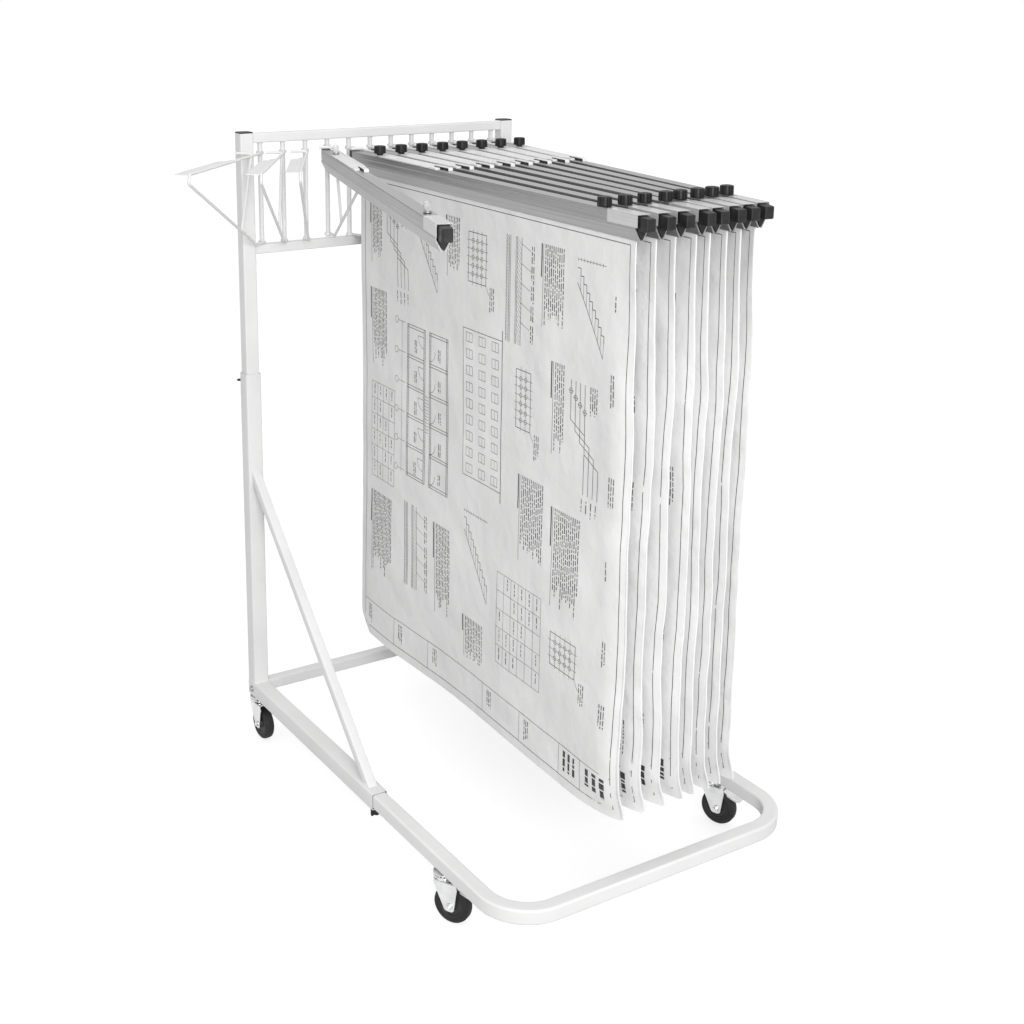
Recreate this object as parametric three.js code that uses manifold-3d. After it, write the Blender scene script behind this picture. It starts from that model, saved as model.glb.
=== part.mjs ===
// Plan hanging rack: a wheeled tube frame whose hangers pivot on a row of
// upright spindles and carry clamps with sets of large drawings.
// Millimetres, +Z up. Pieces are laid out with x = 0 midway between the posts,
// y = 0 on the posts' axis (the front is -Y) and z = 0 on the floor. At the end
// everything is moved so that the origin is the middle of the box's underside.
import * as THREE from 'three';
import { mergeVertices } from 'three/addons/utils/BufferGeometryUtils.js';
import Module from 'manifold-3d';

const wasm = await Module();
wasm.setup();

// Frame
const POST_SPACING = 654;
const OUTER_TUBE = 35;
const INNER_TUBE = 30;
const TUBE_WALL = 1.5;
const BASE_UNDERSIDE = 100;
const BASE_FRONT = -573;
const BASE_END_WALL = 2;
const LOWER_POST_TOP = 868;
const UPPER_POST_BOTTOM = 568;
const CAP_THICKNESS = 3;
const CAP_PLUG_DEPTH = 12;
const BRACE_SIZE = 20;
const BRACE_TOP = 648;
const BRACE_FOOT = -548;
const CROSS_RAIL_SIZE = 25;
const FRONT_TUBE_FRONT = -1060;
const FRONT_TUBE_REAR = -240;
const FRONT_BEND_RADIUS = 90;

// Head with its spindles
const HEAD_RAIL_SIZE = 20;
const RAIL_BELOW_POST_TOP = 1;
const TOP_RAIL_UNDERSIDE = 1367;
const LOWER_RAIL_TOP = 1150;
const SPINDLE_COUNT = 12;
const SPINDLE_PITCH = 53;
const SPINDLE_DIAMETER = 10;

// Wing screws that clamp the telescoping tubes
const SCREW_DIAMETER = 6;
const SCREW_HUB_DIAMETER = 16;
const WING_THICKNESS = 5;
const WING_RISE = 3;
const WING_PAST_HUB = 2;
const SCREW_CLEAR_OF_TUBE = 0.8;
const HEIGHT_SCREW_SPAN = 42;
const HEIGHT_SCREW_HUB_LENGTH = 9;
const HEIGHT_SCREW_FROM_TUBE_END = 20;
const DEPTH_SCREW_SPAN = 26;
const DEPTH_SCREW_HUB_LENGTH = 18;
const DEPTH_SCREW_FROM_TUBE_END = 13;

// Casters
const WHEEL_DIAMETER = 75;
const WHEEL_WIDTH = 22;
const CASTER_TRAIL = 20;
const FRONT_CASTER_Y = -820;
const REAR_CASTER_Y = 0;
const AXLE_DIAMETER = 10;
const FORK_INNER_WIDTH = 27;
const FORK_PLATE = 2.5;
const FORK_HEAD_TOP = 87;
const FORK_BRIDGE = 3;
const FORK_FRONT = 16;
const FORK_BACK = 32;
const FORK_SHOULDER = 12;
const FORK_SPLAY = 4;
const FORK_FOOT = 18;
const AXLE_HEAD = 2;
const RACEWAY_DIAMETER = 42;
const RACEWAY_NECK_DIAMETER = 34;
const STEM_DIAMETER = 22;
const TREAD_CHAMFER = 3;
const PEDAL_PIVOT_BEHIND_AXLE = 7;
const PEDAL_PIVOT_BELOW_HEAD = 8;
const PEDAL_PIN_DIAMETER = 6;
const PEDAL_LEVER = 16;
const PEDAL_LEVER_THICKNESS = 2.4;
const PEDAL_LENGTH = 46;
const PEDAL_PAD_THICKNESS = 3;
const PEDAL_TILT = 17;
const FRONT_LEFT_SWIVEL = 28;
const FRONT_RIGHT_SWIVEL = 22;
const REAR_LEFT_SWIVEL = 2;
const REAR_RIGHT_SWIVEL = -20;

// Hangers: each is drawn pointing straight ahead from its spindle
const WIRE_DIAMETER = 6;
const WIRE_SIDE = 6;
const HANGER_REACH = 388;
const HANGER_DROP = 17;
const CROSS_BAR_AT = 65;
const CROSS_BAR_LEFT = -27;
const CROSS_BAR_ABOVE_ARM = 4.7;
const STRUT_FOOT_AT = 130;
const DIAGONAL_FOOT_AT = 50;
const PLATE_THICKNESS = 2;
const PLATE_LEFT = -22;
const PLATE_REAR_AT = 140;
const PLATE_SLANT = 42;
const PLATE_PAST_BEND = 2;
const WIRE_BEND_RADIUS = 5;
const EYE_WALL = 3.6;
const HANGER_LEFT_TURN = [45.5, 32.4, 28.5, 17.06, 1.27, 1.85, 2.52, 2.95, 4.15, 4.95, 6.04, 7.09];
const EMPTY_HANGER_LIFT = 5.5;

// Clamps and plan sets
const CLAMP_TOP = 1344;
const CLAMP_CENTRE = -11;
const CLAMP_REAR = 63;
const CLAMP_FRONT = 1068;
const CLAMP_HEIGHT = 44;
const CLAMP_WIDTH = 27;
const CLAMP_BOX_WIDTH = 25;
const CLAMP_BOX_HEIGHT = 22;
const CLAMP_WALL = 2;
const CLAMP_SLOT = 4;
const CLAMP_LEDGE = 2;
const CLAMP_LEDGE_SLOPE = 1;
const CLAMP_LIP = 2;
const JAW_END_CLEARANCE = 3;
const END_CAP_DEPTH = 20;
const END_CAP_WIDTH = 18.6;
const END_CAP_HEIGHT = 22;
const END_CAP_BELOW_TOP = 4;
const KNOB_DIAMETER = 25;
const KNOB_HEIGHT = 16;
const REAR_KNOB_AT = 168;
const FRONT_KNOB_AT = 961;
const STUD_DIAMETER = 6;
const STUD_DEPTH = 12;
const STUD_SLOT = 8;
const COLLAR_DIAMETER = 14;
const COLLAR_HEIGHT = 3.5;
const THUMB_TAB_WIDTH = 11;
const THUMB_TAB_THICKNESS = 3.5;
const THUMB_SCREW_HEIGHT = 20;
const PLAN_WIDTH = 965;
const PLAN_LENGTH = 1074;
const PLAN_THICKNESS = 3;
const PLAN_REAR_AT = 85;
const PLAN_INSERTION = 24;
const PLAN_HELD_FLAT = 20;
const PLAN_SWAY = 5;
const PLAN_RIPPLE = 2;
const FRONT_CORNER_TURN = 9;
const REAR_CORNER_TURN = 7;
const FIRST_LOADED = 4;
const EMPTY_CLAMP = 3;

// Clearance between pieces that meet without being joined
const GAP = 0.3;

const POST_X = POST_SPACING / 2;
const BASE_TOP = BASE_UNDERSIDE + OUTER_TUBE;
const UPPER_POST_TOP = TOP_RAIL_UNDERSIDE + HEAD_RAIL_SIZE + RAIL_BELOW_POST_TOP;
const BASE_CENTRE = BASE_UNDERSIDE + OUTER_TUBE / 2;
const POST_INNER_FACE = POST_X - INNER_TUBE / 2;
const PLATE_FOOT = CLAMP_TOP + GAP;
const PLATE_TOP = PLATE_FOOT + PLATE_THICKNESS;
const ARM_Z = PLATE_FOOT + PLATE_THICKNESS / 2;

const rack = new THREE.Group();
rack.name = 'plan_hanging_rack';

const FINISHES = {
  white: { color: 0xf2f2f0, roughness: 0.45, metalness: 0 },
  black: { color: 0x151515, roughness: 0.5, metalness: 0 },
  zinc: { color: 0xb9bcbf, roughness: 0.3, metalness: 1 },
  rubber: { color: 0x1c1c1c, roughness: 0.8, metalness: 0 },
  aluminium: { color: 0xb4b6b8, roughness: 0.35, metalness: 1 },
  paper: { color: 0xeeeeea, roughness: 0.9, metalness: 0 },
};

function radians(degrees) {
  return THREE.MathUtils.degToRad(degrees);
}

function addPiece(name, geometry, finish) {
  geometry.computeVertexNormals();
  const mesh = new THREE.Mesh(geometry, new THREE.MeshStandardMaterial(FINISHES[finish]));
  mesh.name = name;
  rack.add(mesh);
}

// Position-only copy with its corners joined and its faces turned outwards
function closedGeometry(geometry) {
  const bare = new THREE.BufferGeometry();
  bare.setAttribute('position', geometry.getAttribute('position').clone());
  if (geometry.index) {
    bare.setIndex(geometry.index.clone());
  }
  const merged = mergeVertices(bare, 1e-4);
  const position = merged.getAttribute('position');
  const triangles = [];
  let volume = 0;
  const corner = [new THREE.Vector3(), new THREE.Vector3(), new THREE.Vector3()];
  for (let i = 0; i < merged.index.count; i += 3) {
    const ids = [0, 1, 2].map((k) => merged.index.getX(i + k));
    if (new Set(ids).size < 3) {
      continue;
    }
    ids.forEach((id, k) => corner[k].fromBufferAttribute(position, id));
    volume += corner[0].dot(corner[1].clone().cross(corner[2]));
    triangles.push(ids);
  }
  const outward = volume > 0 ? triangles : triangles.map(([a, b, c]) => [a, c, b]);
  merged.setIndex(outward.flat());
  return merged;
}

function solidOf(geometry) {
  const closed = closedGeometry(geometry);
  const mesh = new wasm.Mesh({
    numProp: 3,
    vertProperties: Float32Array.from(closed.getAttribute('position').array),
    triVerts: Uint32Array.from(closed.index.array),
  });
  return new wasm.Manifold(mesh);
}

function geometryOf(solid) {
  const mesh = solid.getMesh();
  const geometry = new THREE.BufferGeometry();
  const points = Float32Array.from(mesh.vertProperties);
  geometry.setAttribute('position', new THREE.BufferAttribute(points, 3));
  geometry.setIndex(Array.from(mesh.triVerts));
  return geometry;
}

function joined(geometries) {
  const solids = geometries.map(solidOf);
  return geometryOf(solids.reduce((sum, solid) => sum.add(solid)));
}

function cutAway(geometry, tools) {
  return geometryOf(tools.reduce((rest, tool) => rest.subtract(solidOf(tool)), solidOf(geometry)));
}

function box(x0, x1, y0, y1, z0, z1) {
  const geometry = new THREE.BoxGeometry(x1 - x0, y1 - y0, z1 - z0);
  return geometry.translate((x0 + x1) / 2, (y0 + y1) / 2, (z0 + z1) / 2);
}

function polygon(points) {
  return new THREE.Shape(points.map(([x, y]) => new THREE.Vector2(x, y)));
}

function square(size) {
  const half = size / 2;
  return [[-half, -half], [half, -half], [half, half], [-half, half]];
}

function tubeSection(size, wall) {
  const shape = polygon(square(size));
  shape.holes.push(new THREE.Path(square(size - 2 * wall).map(([x, y]) => new THREE.Vector2(x, y))));
  return shape;
}

function extruded(shape, length) {
  return new THREE.ExtrudeGeometry(shape, { depth: length, bevelEnabled: false });
}

function alongZ(shape, z0, z1) {
  return extruded(shape, z1 - z0).translate(0, 0, z0);
}

// The section's second coordinate becomes height
function alongY(shape, y0, y1) {
  return extruded(shape, y1 - y0).rotateX(Math.PI / 2).translate(0, y1, 0);
}

// The section's coordinates become y and height
function alongX(shape, x0, x1) {
  const turn = new THREE.Matrix4().makeBasis(
    new THREE.Vector3(0, 1, 0),
    new THREE.Vector3(0, 0, 1),
    new THREE.Vector3(1, 0, 0),
  );
  return extruded(shape, x1 - x0).applyMatrix4(turn).translate(x0, 0, 0);
}

// Upright cylinder or cone
function upright(bottomRadius, topRadius, z0, z1, sides) {
  const geometry = new THREE.CylinderGeometry(topRadius, bottomRadius, z1 - z0, sides);
  return geometry.rotateX(Math.PI / 2).translate(0, 0, (z0 + z1) / 2);
}

function rodAlongX(radius, x0, x1, y, z, sides) {
  const geometry = new THREE.CylinderGeometry(radius, radius, x1 - x0, sides);
  return geometry.rotateZ(Math.PI / 2).translate((x0 + x1) / 2, y, z);
}

// Body turned about the upright axis from points of radius and height
function turned(points, sides) {
  const profile = points.map(([radius, height]) => new THREE.Vector2(radius, height));
  return new THREE.LatheGeometry(profile, sides).rotateX(Math.PI / 2);
}

// Path through given points, with the section square to the mean direction at each
class PointPath extends THREE.Curve {
  constructor(points) {
    super();
    this.points = points;
  }

  getSpacedPoints() {
    return this.points;
  }

  getTangentAt(u, target = new THREE.Vector3()) {
    const last = this.points.length - 1;
    const i = Math.round(u * last);
    target.set(0, 0, 0);
    for (const k of [i - 1, i]) {
      if (k >= 0 && k < last) {
        target.add(this.points[k + 1].clone().sub(this.points[k]).normalize());
      }
    }
    return target.normalize();
  }
}

// Corners of a line of points rounded to arcs
function rounded(corners, radius, steps) {
  const points = [corners[0]];
  for (let i = 1; i < corners.length - 1; i += 1) {
    const arriving = corners[i].clone().sub(corners[i - 1]).normalize();
    const leaving = corners[i + 1].clone().sub(corners[i]).normalize();
    const angle = arriving.angleTo(leaving);
    const start = corners[i].clone().addScaledVector(arriving, -radius * Math.tan(angle / 2));
    const axis = arriving.clone().cross(leaving).normalize();
    const outward = arriving.clone().cross(axis).multiplyScalar(radius);
    const centre = start.clone().sub(outward);
    for (let k = 0; k <= steps; k += 1) {
      const arm = outward.clone().applyAxisAngle(axis, (angle * k) / steps);
      points.push(centre.clone().add(arm));
    }
  }
  points.push(corners[corners.length - 1]);
  return points;
}

function swept(shape, points) {
  const path = new PointPath(points);
  return new THREE.ExtrudeGeometry(shape, { steps: points.length - 1, extrudePath: path });
}

function wire(points) {
  const ring = [];
  for (let k = 0; k < 6; k += 1) {
    const angle = (Math.PI * (k + 0.5)) / 3;
    ring.push([(WIRE_DIAMETER / 2) * Math.cos(angle), (WIRE_DIAMETER / 2) * Math.sin(angle)]);
  }
  return swept(polygon(ring), points);
}

// Frame: base tubes, posts and braces
function screwHole(radius) {
  return upright(radius, radius, -OUTER_TUBE / 2 - 1, -INNER_TUBE / 2, 16);
}

function baseTube(x) {
  const half = OUTER_TUBE / 2;
  const inner = half - TUBE_WALL;
  const outside = box(x - half, x + half, BASE_FRONT, half, BASE_UNDERSIDE, BASE_TOP);
  const bore = box(
    x - inner, x + inner, BASE_FRONT - 1, half - BASE_END_WALL,
    BASE_UNDERSIDE + TUBE_WALL, BASE_TOP - TUBE_WALL,
  );
  const hole = screwHole(SCREW_DIAMETER / 2 + GAP);
  hole.translate(x, BASE_FRONT + DEPTH_SCREW_FROM_TUBE_END, BASE_CENTRE);
  return cutAway(outside, [bore, hole]);
}

function lowerPost(x) {
  const tube = alongZ(tubeSection(OUTER_TUBE, TUBE_WALL), BASE_TOP, LOWER_POST_TOP).translate(x, 0, 0);
  const hole = screwHole(SCREW_DIAMETER / 2 + GAP).rotateX(Math.PI / 2);
  hole.translate(x, 0, LOWER_POST_TOP - HEIGHT_SCREW_FROM_TUBE_END);
  return cutAway(tube, [hole]);
}

// Square tube cut flush against the post's front and the base tube's top
function brace(x) {
  const top = new THREE.Vector2(-OUTER_TUBE / 2, BRACE_TOP);
  const foot = new THREE.Vector2(BRACE_FOOT, BASE_TOP);
  const along = foot.clone().sub(top).normalize();
  const beneath = new THREE.Vector2(-along.y, along.x);
  const edge = (depth, grow) => {
    const start = top.clone().addScaledVector(beneath, depth);
    const slope = along.y / along.x;
    const atPost = [top.x + grow, start.y + (top.x + grow - start.x) * slope];
    const atBase = [start.x + (BASE_TOP - grow - start.y) / slope, BASE_TOP - grow];
    return [atPost, atBase];
  };
  const outline = (near, far, grow) => {
    const [upperTop, upperFoot] = edge(near, grow);
    const [lowerTop, lowerFoot] = edge(far, grow);
    return polygon([upperTop, upperFoot, lowerFoot, lowerTop]);
  };
  const half = BRACE_SIZE / 2;
  const outside = alongX(outline(0, BRACE_SIZE, 0), x - half, x + half);
  const hollow = outline(TUBE_WALL, BRACE_SIZE - TUBE_WALL, 5);
  return cutAway(outside, [alongX(hollow, x - half + TUBE_WALL, x + half - TUBE_WALL)]);
}

function upperPost(x) {
  const tube = alongZ(tubeSection(INNER_TUBE, TUBE_WALL), UPPER_POST_BOTTOM, UPPER_POST_TOP);
  return closedGeometry(tube.translate(x, 0, 0));
}

function postCap(x) {
  const half = INNER_TUBE / 2;
  const plug = half - TUBE_WALL - GAP;
  const lid = box(x - half, x + half, -half, half, UPPER_POST_TOP, UPPER_POST_TOP + CAP_THICKNESS);
  const plugFoot = UPPER_POST_TOP - CAP_PLUG_DEPTH;
  const body = box(x - plug, x + plug, -plug, plug, plugFoot, UPPER_POST_TOP + CAP_THICKNESS / 2);
  return joined([lid, body]);
}

// Screw whose axis is +Z, its tip at the origin
function wingScrew(stem, hubLength, span) {
  const overlap = 1;
  const radius = SCREW_DIAMETER / 2;
  const hub = SCREW_HUB_DIAMETER / 2;
  const halfSpan = span / 2;
  const end = stem + hubLength;
  return joined([
    upright(radius, radius, 0, stem + overlap, 12),
    upright(hub, hub - 1, stem, end, 12),
    box(-halfSpan, halfSpan, -WING_THICKNESS / 2, WING_THICKNESS / 2, stem + WING_RISE, end + WING_PAST_HUB),
  ]);
}

const SIDES = [['left', -POST_X], ['right', POST_X]];
const SCREW_STEM = (OUTER_TUBE - INNER_TUBE) / 2 - GAP + SCREW_CLEAR_OF_TUBE;
for (const [side, x] of SIDES) {
  addPiece(`base_tube_${side}`, baseTube(x), 'white');
  addPiece(`lower_post_${side}`, lowerPost(x), 'white');
  addPiece(`brace_${side}`, brace(x), 'white');
  addPiece(`upper_post_${side}`, upperPost(x), 'white');
  addPiece(`post_cap_${side}`, postCap(x), 'black');
  const heightScrew = wingScrew(SCREW_STEM, HEIGHT_SCREW_HUB_LENGTH, HEIGHT_SCREW_SPAN).rotateX(-Math.PI / 2);
  heightScrew.translate(x, INNER_TUBE / 2 + GAP, LOWER_POST_TOP - HEIGHT_SCREW_FROM_TUBE_END);
  addPiece(`height_screw_${side}`, heightScrew, 'black');
  const depthScrew = wingScrew(SCREW_STEM, DEPTH_SCREW_HUB_LENGTH, DEPTH_SCREW_SPAN).rotateX(Math.PI);
  depthScrew.translate(x, BASE_FRONT + DEPTH_SCREW_FROM_TUBE_END, BASE_CENTRE - INNER_TUBE / 2 - GAP);
  addPiece(`depth_screw_${side}`, depthScrew, 'black');
}

const crossRailEnd = POST_X - OUTER_TUBE / 2;
const crossRail = alongX(tubeSection(CROSS_RAIL_SIZE, TUBE_WALL), -crossRailEnd, crossRailEnd);
crossRail.translate(0, 0, BASE_TOP - CROSS_RAIL_SIZE / 2);
addPiece('rear_cross_rail', closedGeometry(crossRail), 'white');

const frontLine = FRONT_TUBE_FRONT + INNER_TUBE / 2;
const frontPath = [
  [-POST_X, FRONT_TUBE_REAR],
  [-POST_X, frontLine],
  [POST_X, frontLine],
  [POST_X, FRONT_TUBE_REAR],
].map(([x, y]) => new THREE.Vector3(x, y, BASE_CENTRE));
const frontTube = swept(tubeSection(INNER_TUBE, TUBE_WALL), rounded(frontPath, FRONT_BEND_RADIUS, 8));
addPiece('front_base_tube', closedGeometry(frontTube), 'white');

// Head: top rail, and lower rail with the spindles
const topRail = alongX(tubeSection(HEAD_RAIL_SIZE, TUBE_WALL), -POST_INNER_FACE, POST_INNER_FACE);
topRail.translate(0, 0, TOP_RAIL_UNDERSIDE + HEAD_RAIL_SIZE / 2);
addPiece('top_rail', closedGeometry(topRail), 'white');

function spindleX(i) {
  return (i - (SPINDLE_COUNT - 1) / 2) * SPINDLE_PITCH;
}

const lowerRail = alongX(tubeSection(HEAD_RAIL_SIZE, TUBE_WALL), -POST_INNER_FACE, POST_INNER_FACE);
lowerRail.translate(0, 0, LOWER_RAIL_TOP - HEAD_RAIL_SIZE / 2);
const gridPieces = [lowerRail];
for (let i = 0; i < SPINDLE_COUNT; i += 1) {
  const radius = SPINDLE_DIAMETER / 2;
  const spindle = upright(radius, radius, LOWER_RAIL_TOP - TUBE_WALL / 2, TOP_RAIL_UNDERSIDE, 12);
  gridPieces.push(spindle.translate(spindleX(i), 0, 0));
}
addPiece('spindle_grid', joined(gridPieces), 'white');

// Casters: drawn with the swivel axis at x = y = 0 and the wheel trailing to -Y
const WHEEL_RADIUS = WHEEL_DIAMETER / 2;
const LEG_INNER = FORK_INNER_WIDTH / 2;
const LEG_OUTER = LEG_INNER + FORK_PLATE;

function casterFork(top) {
  const raceway = RACEWAY_DIAMETER / 2;
  const neck = RACEWAY_NECK_DIAMETER / 2;
  const stem = STEM_DIAMETER / 2;
  const foot = FORK_FOOT / 2;
  const shoulder = FORK_HEAD_TOP - FORK_SHOULDER;
  const head = turned([
    [0, FORK_HEAD_TOP - 1], [neck, FORK_HEAD_TOP - 1], [neck, top - 9], [raceway, top - 7],
    [raceway, top - 3], [neck, top - 1.5], [stem, top - 1.5], [stem, top], [0, top],
  ], 12);
  const bridgeFoot = FORK_HEAD_TOP - FORK_BRIDGE;
  const bridge = box(-LEG_OUTER, LEG_OUTER, -FORK_BACK, FORK_FRONT, bridgeFoot, FORK_HEAD_TOP);
  const legOutline = polygon([
    [FORK_FRONT, FORK_HEAD_TOP], [-FORK_BACK, FORK_HEAD_TOP], [-FORK_BACK - FORK_SPLAY, shoulder],
    [-CASTER_TRAIL - foot, WHEEL_RADIUS - foot], [-CASTER_TRAIL + foot, WHEEL_RADIUS - foot],
    [FORK_FRONT - FORK_SPLAY, shoulder],
  ]);
  const axleEnd = LEG_OUTER + AXLE_HEAD;
  const axle = rodAlongX(AXLE_DIAMETER / 2, -axleEnd, axleEnd, -CASTER_TRAIL, WHEEL_RADIUS, 12);
  return joined([
    bridge,
    alongX(legOutline, LEG_INNER, LEG_OUTER),
    alongX(legOutline, -LEG_OUTER, -LEG_INNER),
    head,
    axle,
  ]);
}

// Tyre and hub as one ring with flats, one of them on the floor
function casterWheel() {
  const sides = 20;
  const toFlat = 1 / Math.cos(Math.PI / sides);
  const bore = (AXLE_DIAMETER / 2 + 2 * GAP) * toFlat;
  const half = WHEEL_WIDTH / 2;
  const tread = WHEEL_RADIUS * toFlat;
  const side = tread - TREAD_CHAMFER;
  const crown = half - TREAD_CHAMFER;
  const wheel = turned([
    [bore, -half], [side, -half], [tread, -crown], [tread, crown], [side, half], [bore, half], [bore, -half],
  ], sides);
  wheel.rotateZ(Math.PI / sides).rotateY(Math.PI / 2);
  return closedGeometry(wheel.translate(0, -CASTER_TRAIL, WHEEL_RADIUS));
}

function brakePedal() {
  const pivotY = -CASTER_TRAIL - PEDAL_PIVOT_BEHIND_AXLE;
  const pivotZ = FORK_HEAD_TOP - PEDAL_PIVOT_BELOW_HEAD;
  const reach = LEG_INNER - 2 * GAP;
  const halfLever = PEDAL_LEVER_THICKNESS / 2;
  const halfPad = PEDAL_PAD_THICKNESS / 2;
  const overlap = 2;
  const pin = rodAlongX(PEDAL_PIN_DIAMETER / 2, -reach, reach, 0, 0, 10);
  const lever = box(-reach + 1, reach - 1, -PEDAL_LEVER, 0, -halfLever, halfLever);
  const pad = box(-LEG_OUTER, LEG_OUTER, -PEDAL_LENGTH, overlap - PEDAL_LEVER, -halfPad, halfPad);
  const pedal = joined([pin, lever, pad]);
  return pedal.rotateX(radians(PEDAL_TILT)).translate(0, pivotY, pivotZ);
}

const CASTERS = [
  ['front_left', -POST_X, FRONT_CASTER_Y, FRONT_LEFT_SWIVEL, BASE_CENTRE - INNER_TUBE / 2, true],
  ['front_right', POST_X, FRONT_CASTER_Y, FRONT_RIGHT_SWIVEL, BASE_CENTRE - INNER_TUBE / 2, true],
  ['rear_left', -POST_X, REAR_CASTER_Y, REAR_LEFT_SWIVEL, BASE_UNDERSIDE, false],
  ['rear_right', POST_X, REAR_CASTER_Y, REAR_RIGHT_SWIVEL, BASE_UNDERSIDE, false],
];
for (const [corner, x, y, swivel, underside, braked] of CASTERS) {
  const place = new THREE.Matrix4().makeRotationZ(radians(swivel)).setPosition(x, y, 0);
  addPiece(`caster_fork_${corner}`, casterFork(underside - GAP).applyMatrix4(place), 'zinc');
  addPiece(`caster_wheel_${corner}`, casterWheel().applyMatrix4(place), 'rubber');
  if (braked) {
    addPiece(`brake_pedal_${corner}`, brakePedal().applyMatrix4(place), 'zinc');
  }
}

// Hangers: a wire triangle beside the clamp, its plate lying on the clamp
function eye(z0, z1) {
  const bore = SPINDLE_DIAMETER / 2 + 2 * GAP;
  const outer = bore + EYE_WALL;
  return turned([[bore, z0], [outer, z0], [outer, z1], [bore, z1], [bore, z0]], 10);
}

// Flat plate with a slanted rear corner and a slot for the clamp's rear stud
function hangerPlate() {
  const tipAt = HANGER_REACH + PLATE_PAST_BEND;
  const past = 1;
  const rear = past - PLATE_REAR_AT;
  const corner = polygon([
    [PLATE_LEFT - past, rear], [PLATE_LEFT - past, -PLATE_REAR_AT - PLATE_SLANT], [WIRE_SIDE - 4, rear],
  ]);
  const halfSlot = STUD_SLOT / 2;
  const slot = box(
    CLAMP_CENTRE - halfSlot, CLAMP_CENTRE + halfSlot, -REAR_KNOB_AT - halfSlot, rear,
    PLATE_FOOT - past, PLATE_TOP + past,
  );
  const strip = box(PLATE_LEFT, WIRE_SIDE, -tipAt, -PLATE_REAR_AT, PLATE_FOOT, PLATE_TOP);
  return cutAway(strip, [alongZ(corner, PLATE_FOOT - past, PLATE_TOP + past), slot]);
}

function hanger() {
  const start = SPINDLE_DIAMETER / 2 + 1;
  const footZ = LOWER_RAIL_TOP + GAP + WIRE_DIAMETER / 2;
  const dropZ = ARM_Z - HANGER_DROP;
  const lowZ = footZ + 4;
  const inPlane = (reach, z) => new THREE.Vector3(WIRE_SIDE, -reach, z);
  const loop = rounded([
    inPlane(start, ARM_Z),
    inPlane(HANGER_REACH - 5, ARM_Z),
    inPlane(HANGER_REACH, dropZ),
    inPlane(DIAGONAL_FOOT_AT, lowZ),
    inPlane(start, footZ),
  ], WIRE_BEND_RADIUS, 2);
  const along = (STRUT_FOOT_AT - DIAGONAL_FOOT_AT) / (HANGER_REACH - DIAGONAL_FOOT_AT);
  const strut = [
    inPlane(CROSS_BAR_AT, ARM_Z + 1),
    inPlane(STRUT_FOOT_AT, lowZ + along * (dropZ - lowZ)),
  ];
  const barZ = ARM_Z + CROSS_BAR_ABOVE_ARM;
  const crossBar = [
    new THREE.Vector3(CROSS_BAR_LEFT, -CROSS_BAR_AT, barZ),
    new THREE.Vector3(WIRE_SIDE + 1, -CROSS_BAR_AT, barZ),
  ];
  const halfWire = WIRE_DIAMETER / 2;
  return joined([
    wire(loop),
    wire(strut),
    wire(crossBar),
    eye(ARM_Z - halfWire, ARM_Z + halfWire),
    eye(footZ - halfWire, footZ + halfWire),
    hangerPlate(),
  ]);
}

// The hanger with the empty clamp binds on its spindle a little above the rail
function hangerPlace(i) {
  const lift = i === EMPTY_CLAMP ? EMPTY_HANGER_LIFT : 0;
  return new THREE.Matrix4().makeRotationZ(radians(-HANGER_LEFT_TURN[i])).setPosition(spindleX(i), 0, lift);
}

// Clamps: a channel hung slot downwards, closed by a cap at each end
const HALF_BOX = CLAMP_BOX_WIDTH / 2;
const HALF_WIDTH = CLAMP_WIDTH / 2;
const HALF_SLOT = CLAMP_SLOT / 2;

// One side wall of the channel from just under the top to the lip
function jawOutline(top) {
  const aboveLedge = -CLAMP_BOX_HEIGHT + CLAMP_LEDGE_SLOPE;
  const belowLedge = -CLAMP_BOX_HEIGHT - CLAMP_LEDGE;
  return [
    [HALF_BOX, -top], [HALF_BOX, aboveLedge], [HALF_WIDTH, -CLAMP_BOX_HEIGHT],
    [HALF_WIDTH, belowLedge], [HALF_SLOT + CLAMP_WALL, -CLAMP_HEIGHT], [HALF_SLOT, -CLAMP_HEIGHT],
    [HALF_SLOT, -CLAMP_HEIGHT + CLAMP_LIP], [HALF_WIDTH - CLAMP_WALL, belowLedge - CLAMP_WALL / 4],
    [HALF_BOX - CLAMP_WALL, aboveLedge],
  ];
}

function mirrored(points) {
  return points.map(([x, y]) => [-x, y]).reverse();
}

function clampBar(outline, rear, front) {
  return alongY(polygon(outline), -front, -rear).translate(CLAMP_CENTRE, 0, CLAMP_TOP);
}

function channelOutline() {
  const ceiling = [HALF_BOX - CLAMP_WALL, -CLAMP_WALL];
  const right = [...jawOutline(0), ceiling];
  return [...right, ...mirrored(right)];
}

// Top plate with the right-hand wall only
function fixedJawOutline() {
  return [
    ...jawOutline(0), [HALF_BOX - CLAMP_WALL, -CLAMP_WALL], [-HALF_BOX, -CLAMP_WALL], [-HALF_BOX, 0],
  ];
}

function endCap(at, outward) {
  const inset = 0.5;
  const half = END_CAP_WIDTH / 2;
  const finTop = -1;
  const fin = [
    [-HALF_BOX + inset, finTop], [HALF_BOX - inset, finTop], [HALF_BOX - inset, -CLAMP_BOX_HEIGHT],
    [HALF_SLOT, -CLAMP_HEIGHT - 1], [-HALF_SLOT, -CLAMP_HEIGHT - 1], [-HALF_BOX + inset, -CLAMP_BOX_HEIGHT],
  ];
  const ends = [at - outward, at + outward * 2].sort((a, b) => a - b);
  const boxEnds = [at + outward, at + outward * END_CAP_DEPTH].sort((a, b) => a - b);
  const blockTop = CLAMP_TOP - END_CAP_BELOW_TOP;
  const block = box(
    CLAMP_CENTRE - half, CLAMP_CENTRE + half, -boxEnds[1], -boxEnds[0], blockTop - END_CAP_HEIGHT, blockTop,
  );
  return [clampBar(fin, ends[0], ends[1]), block];
}

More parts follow.
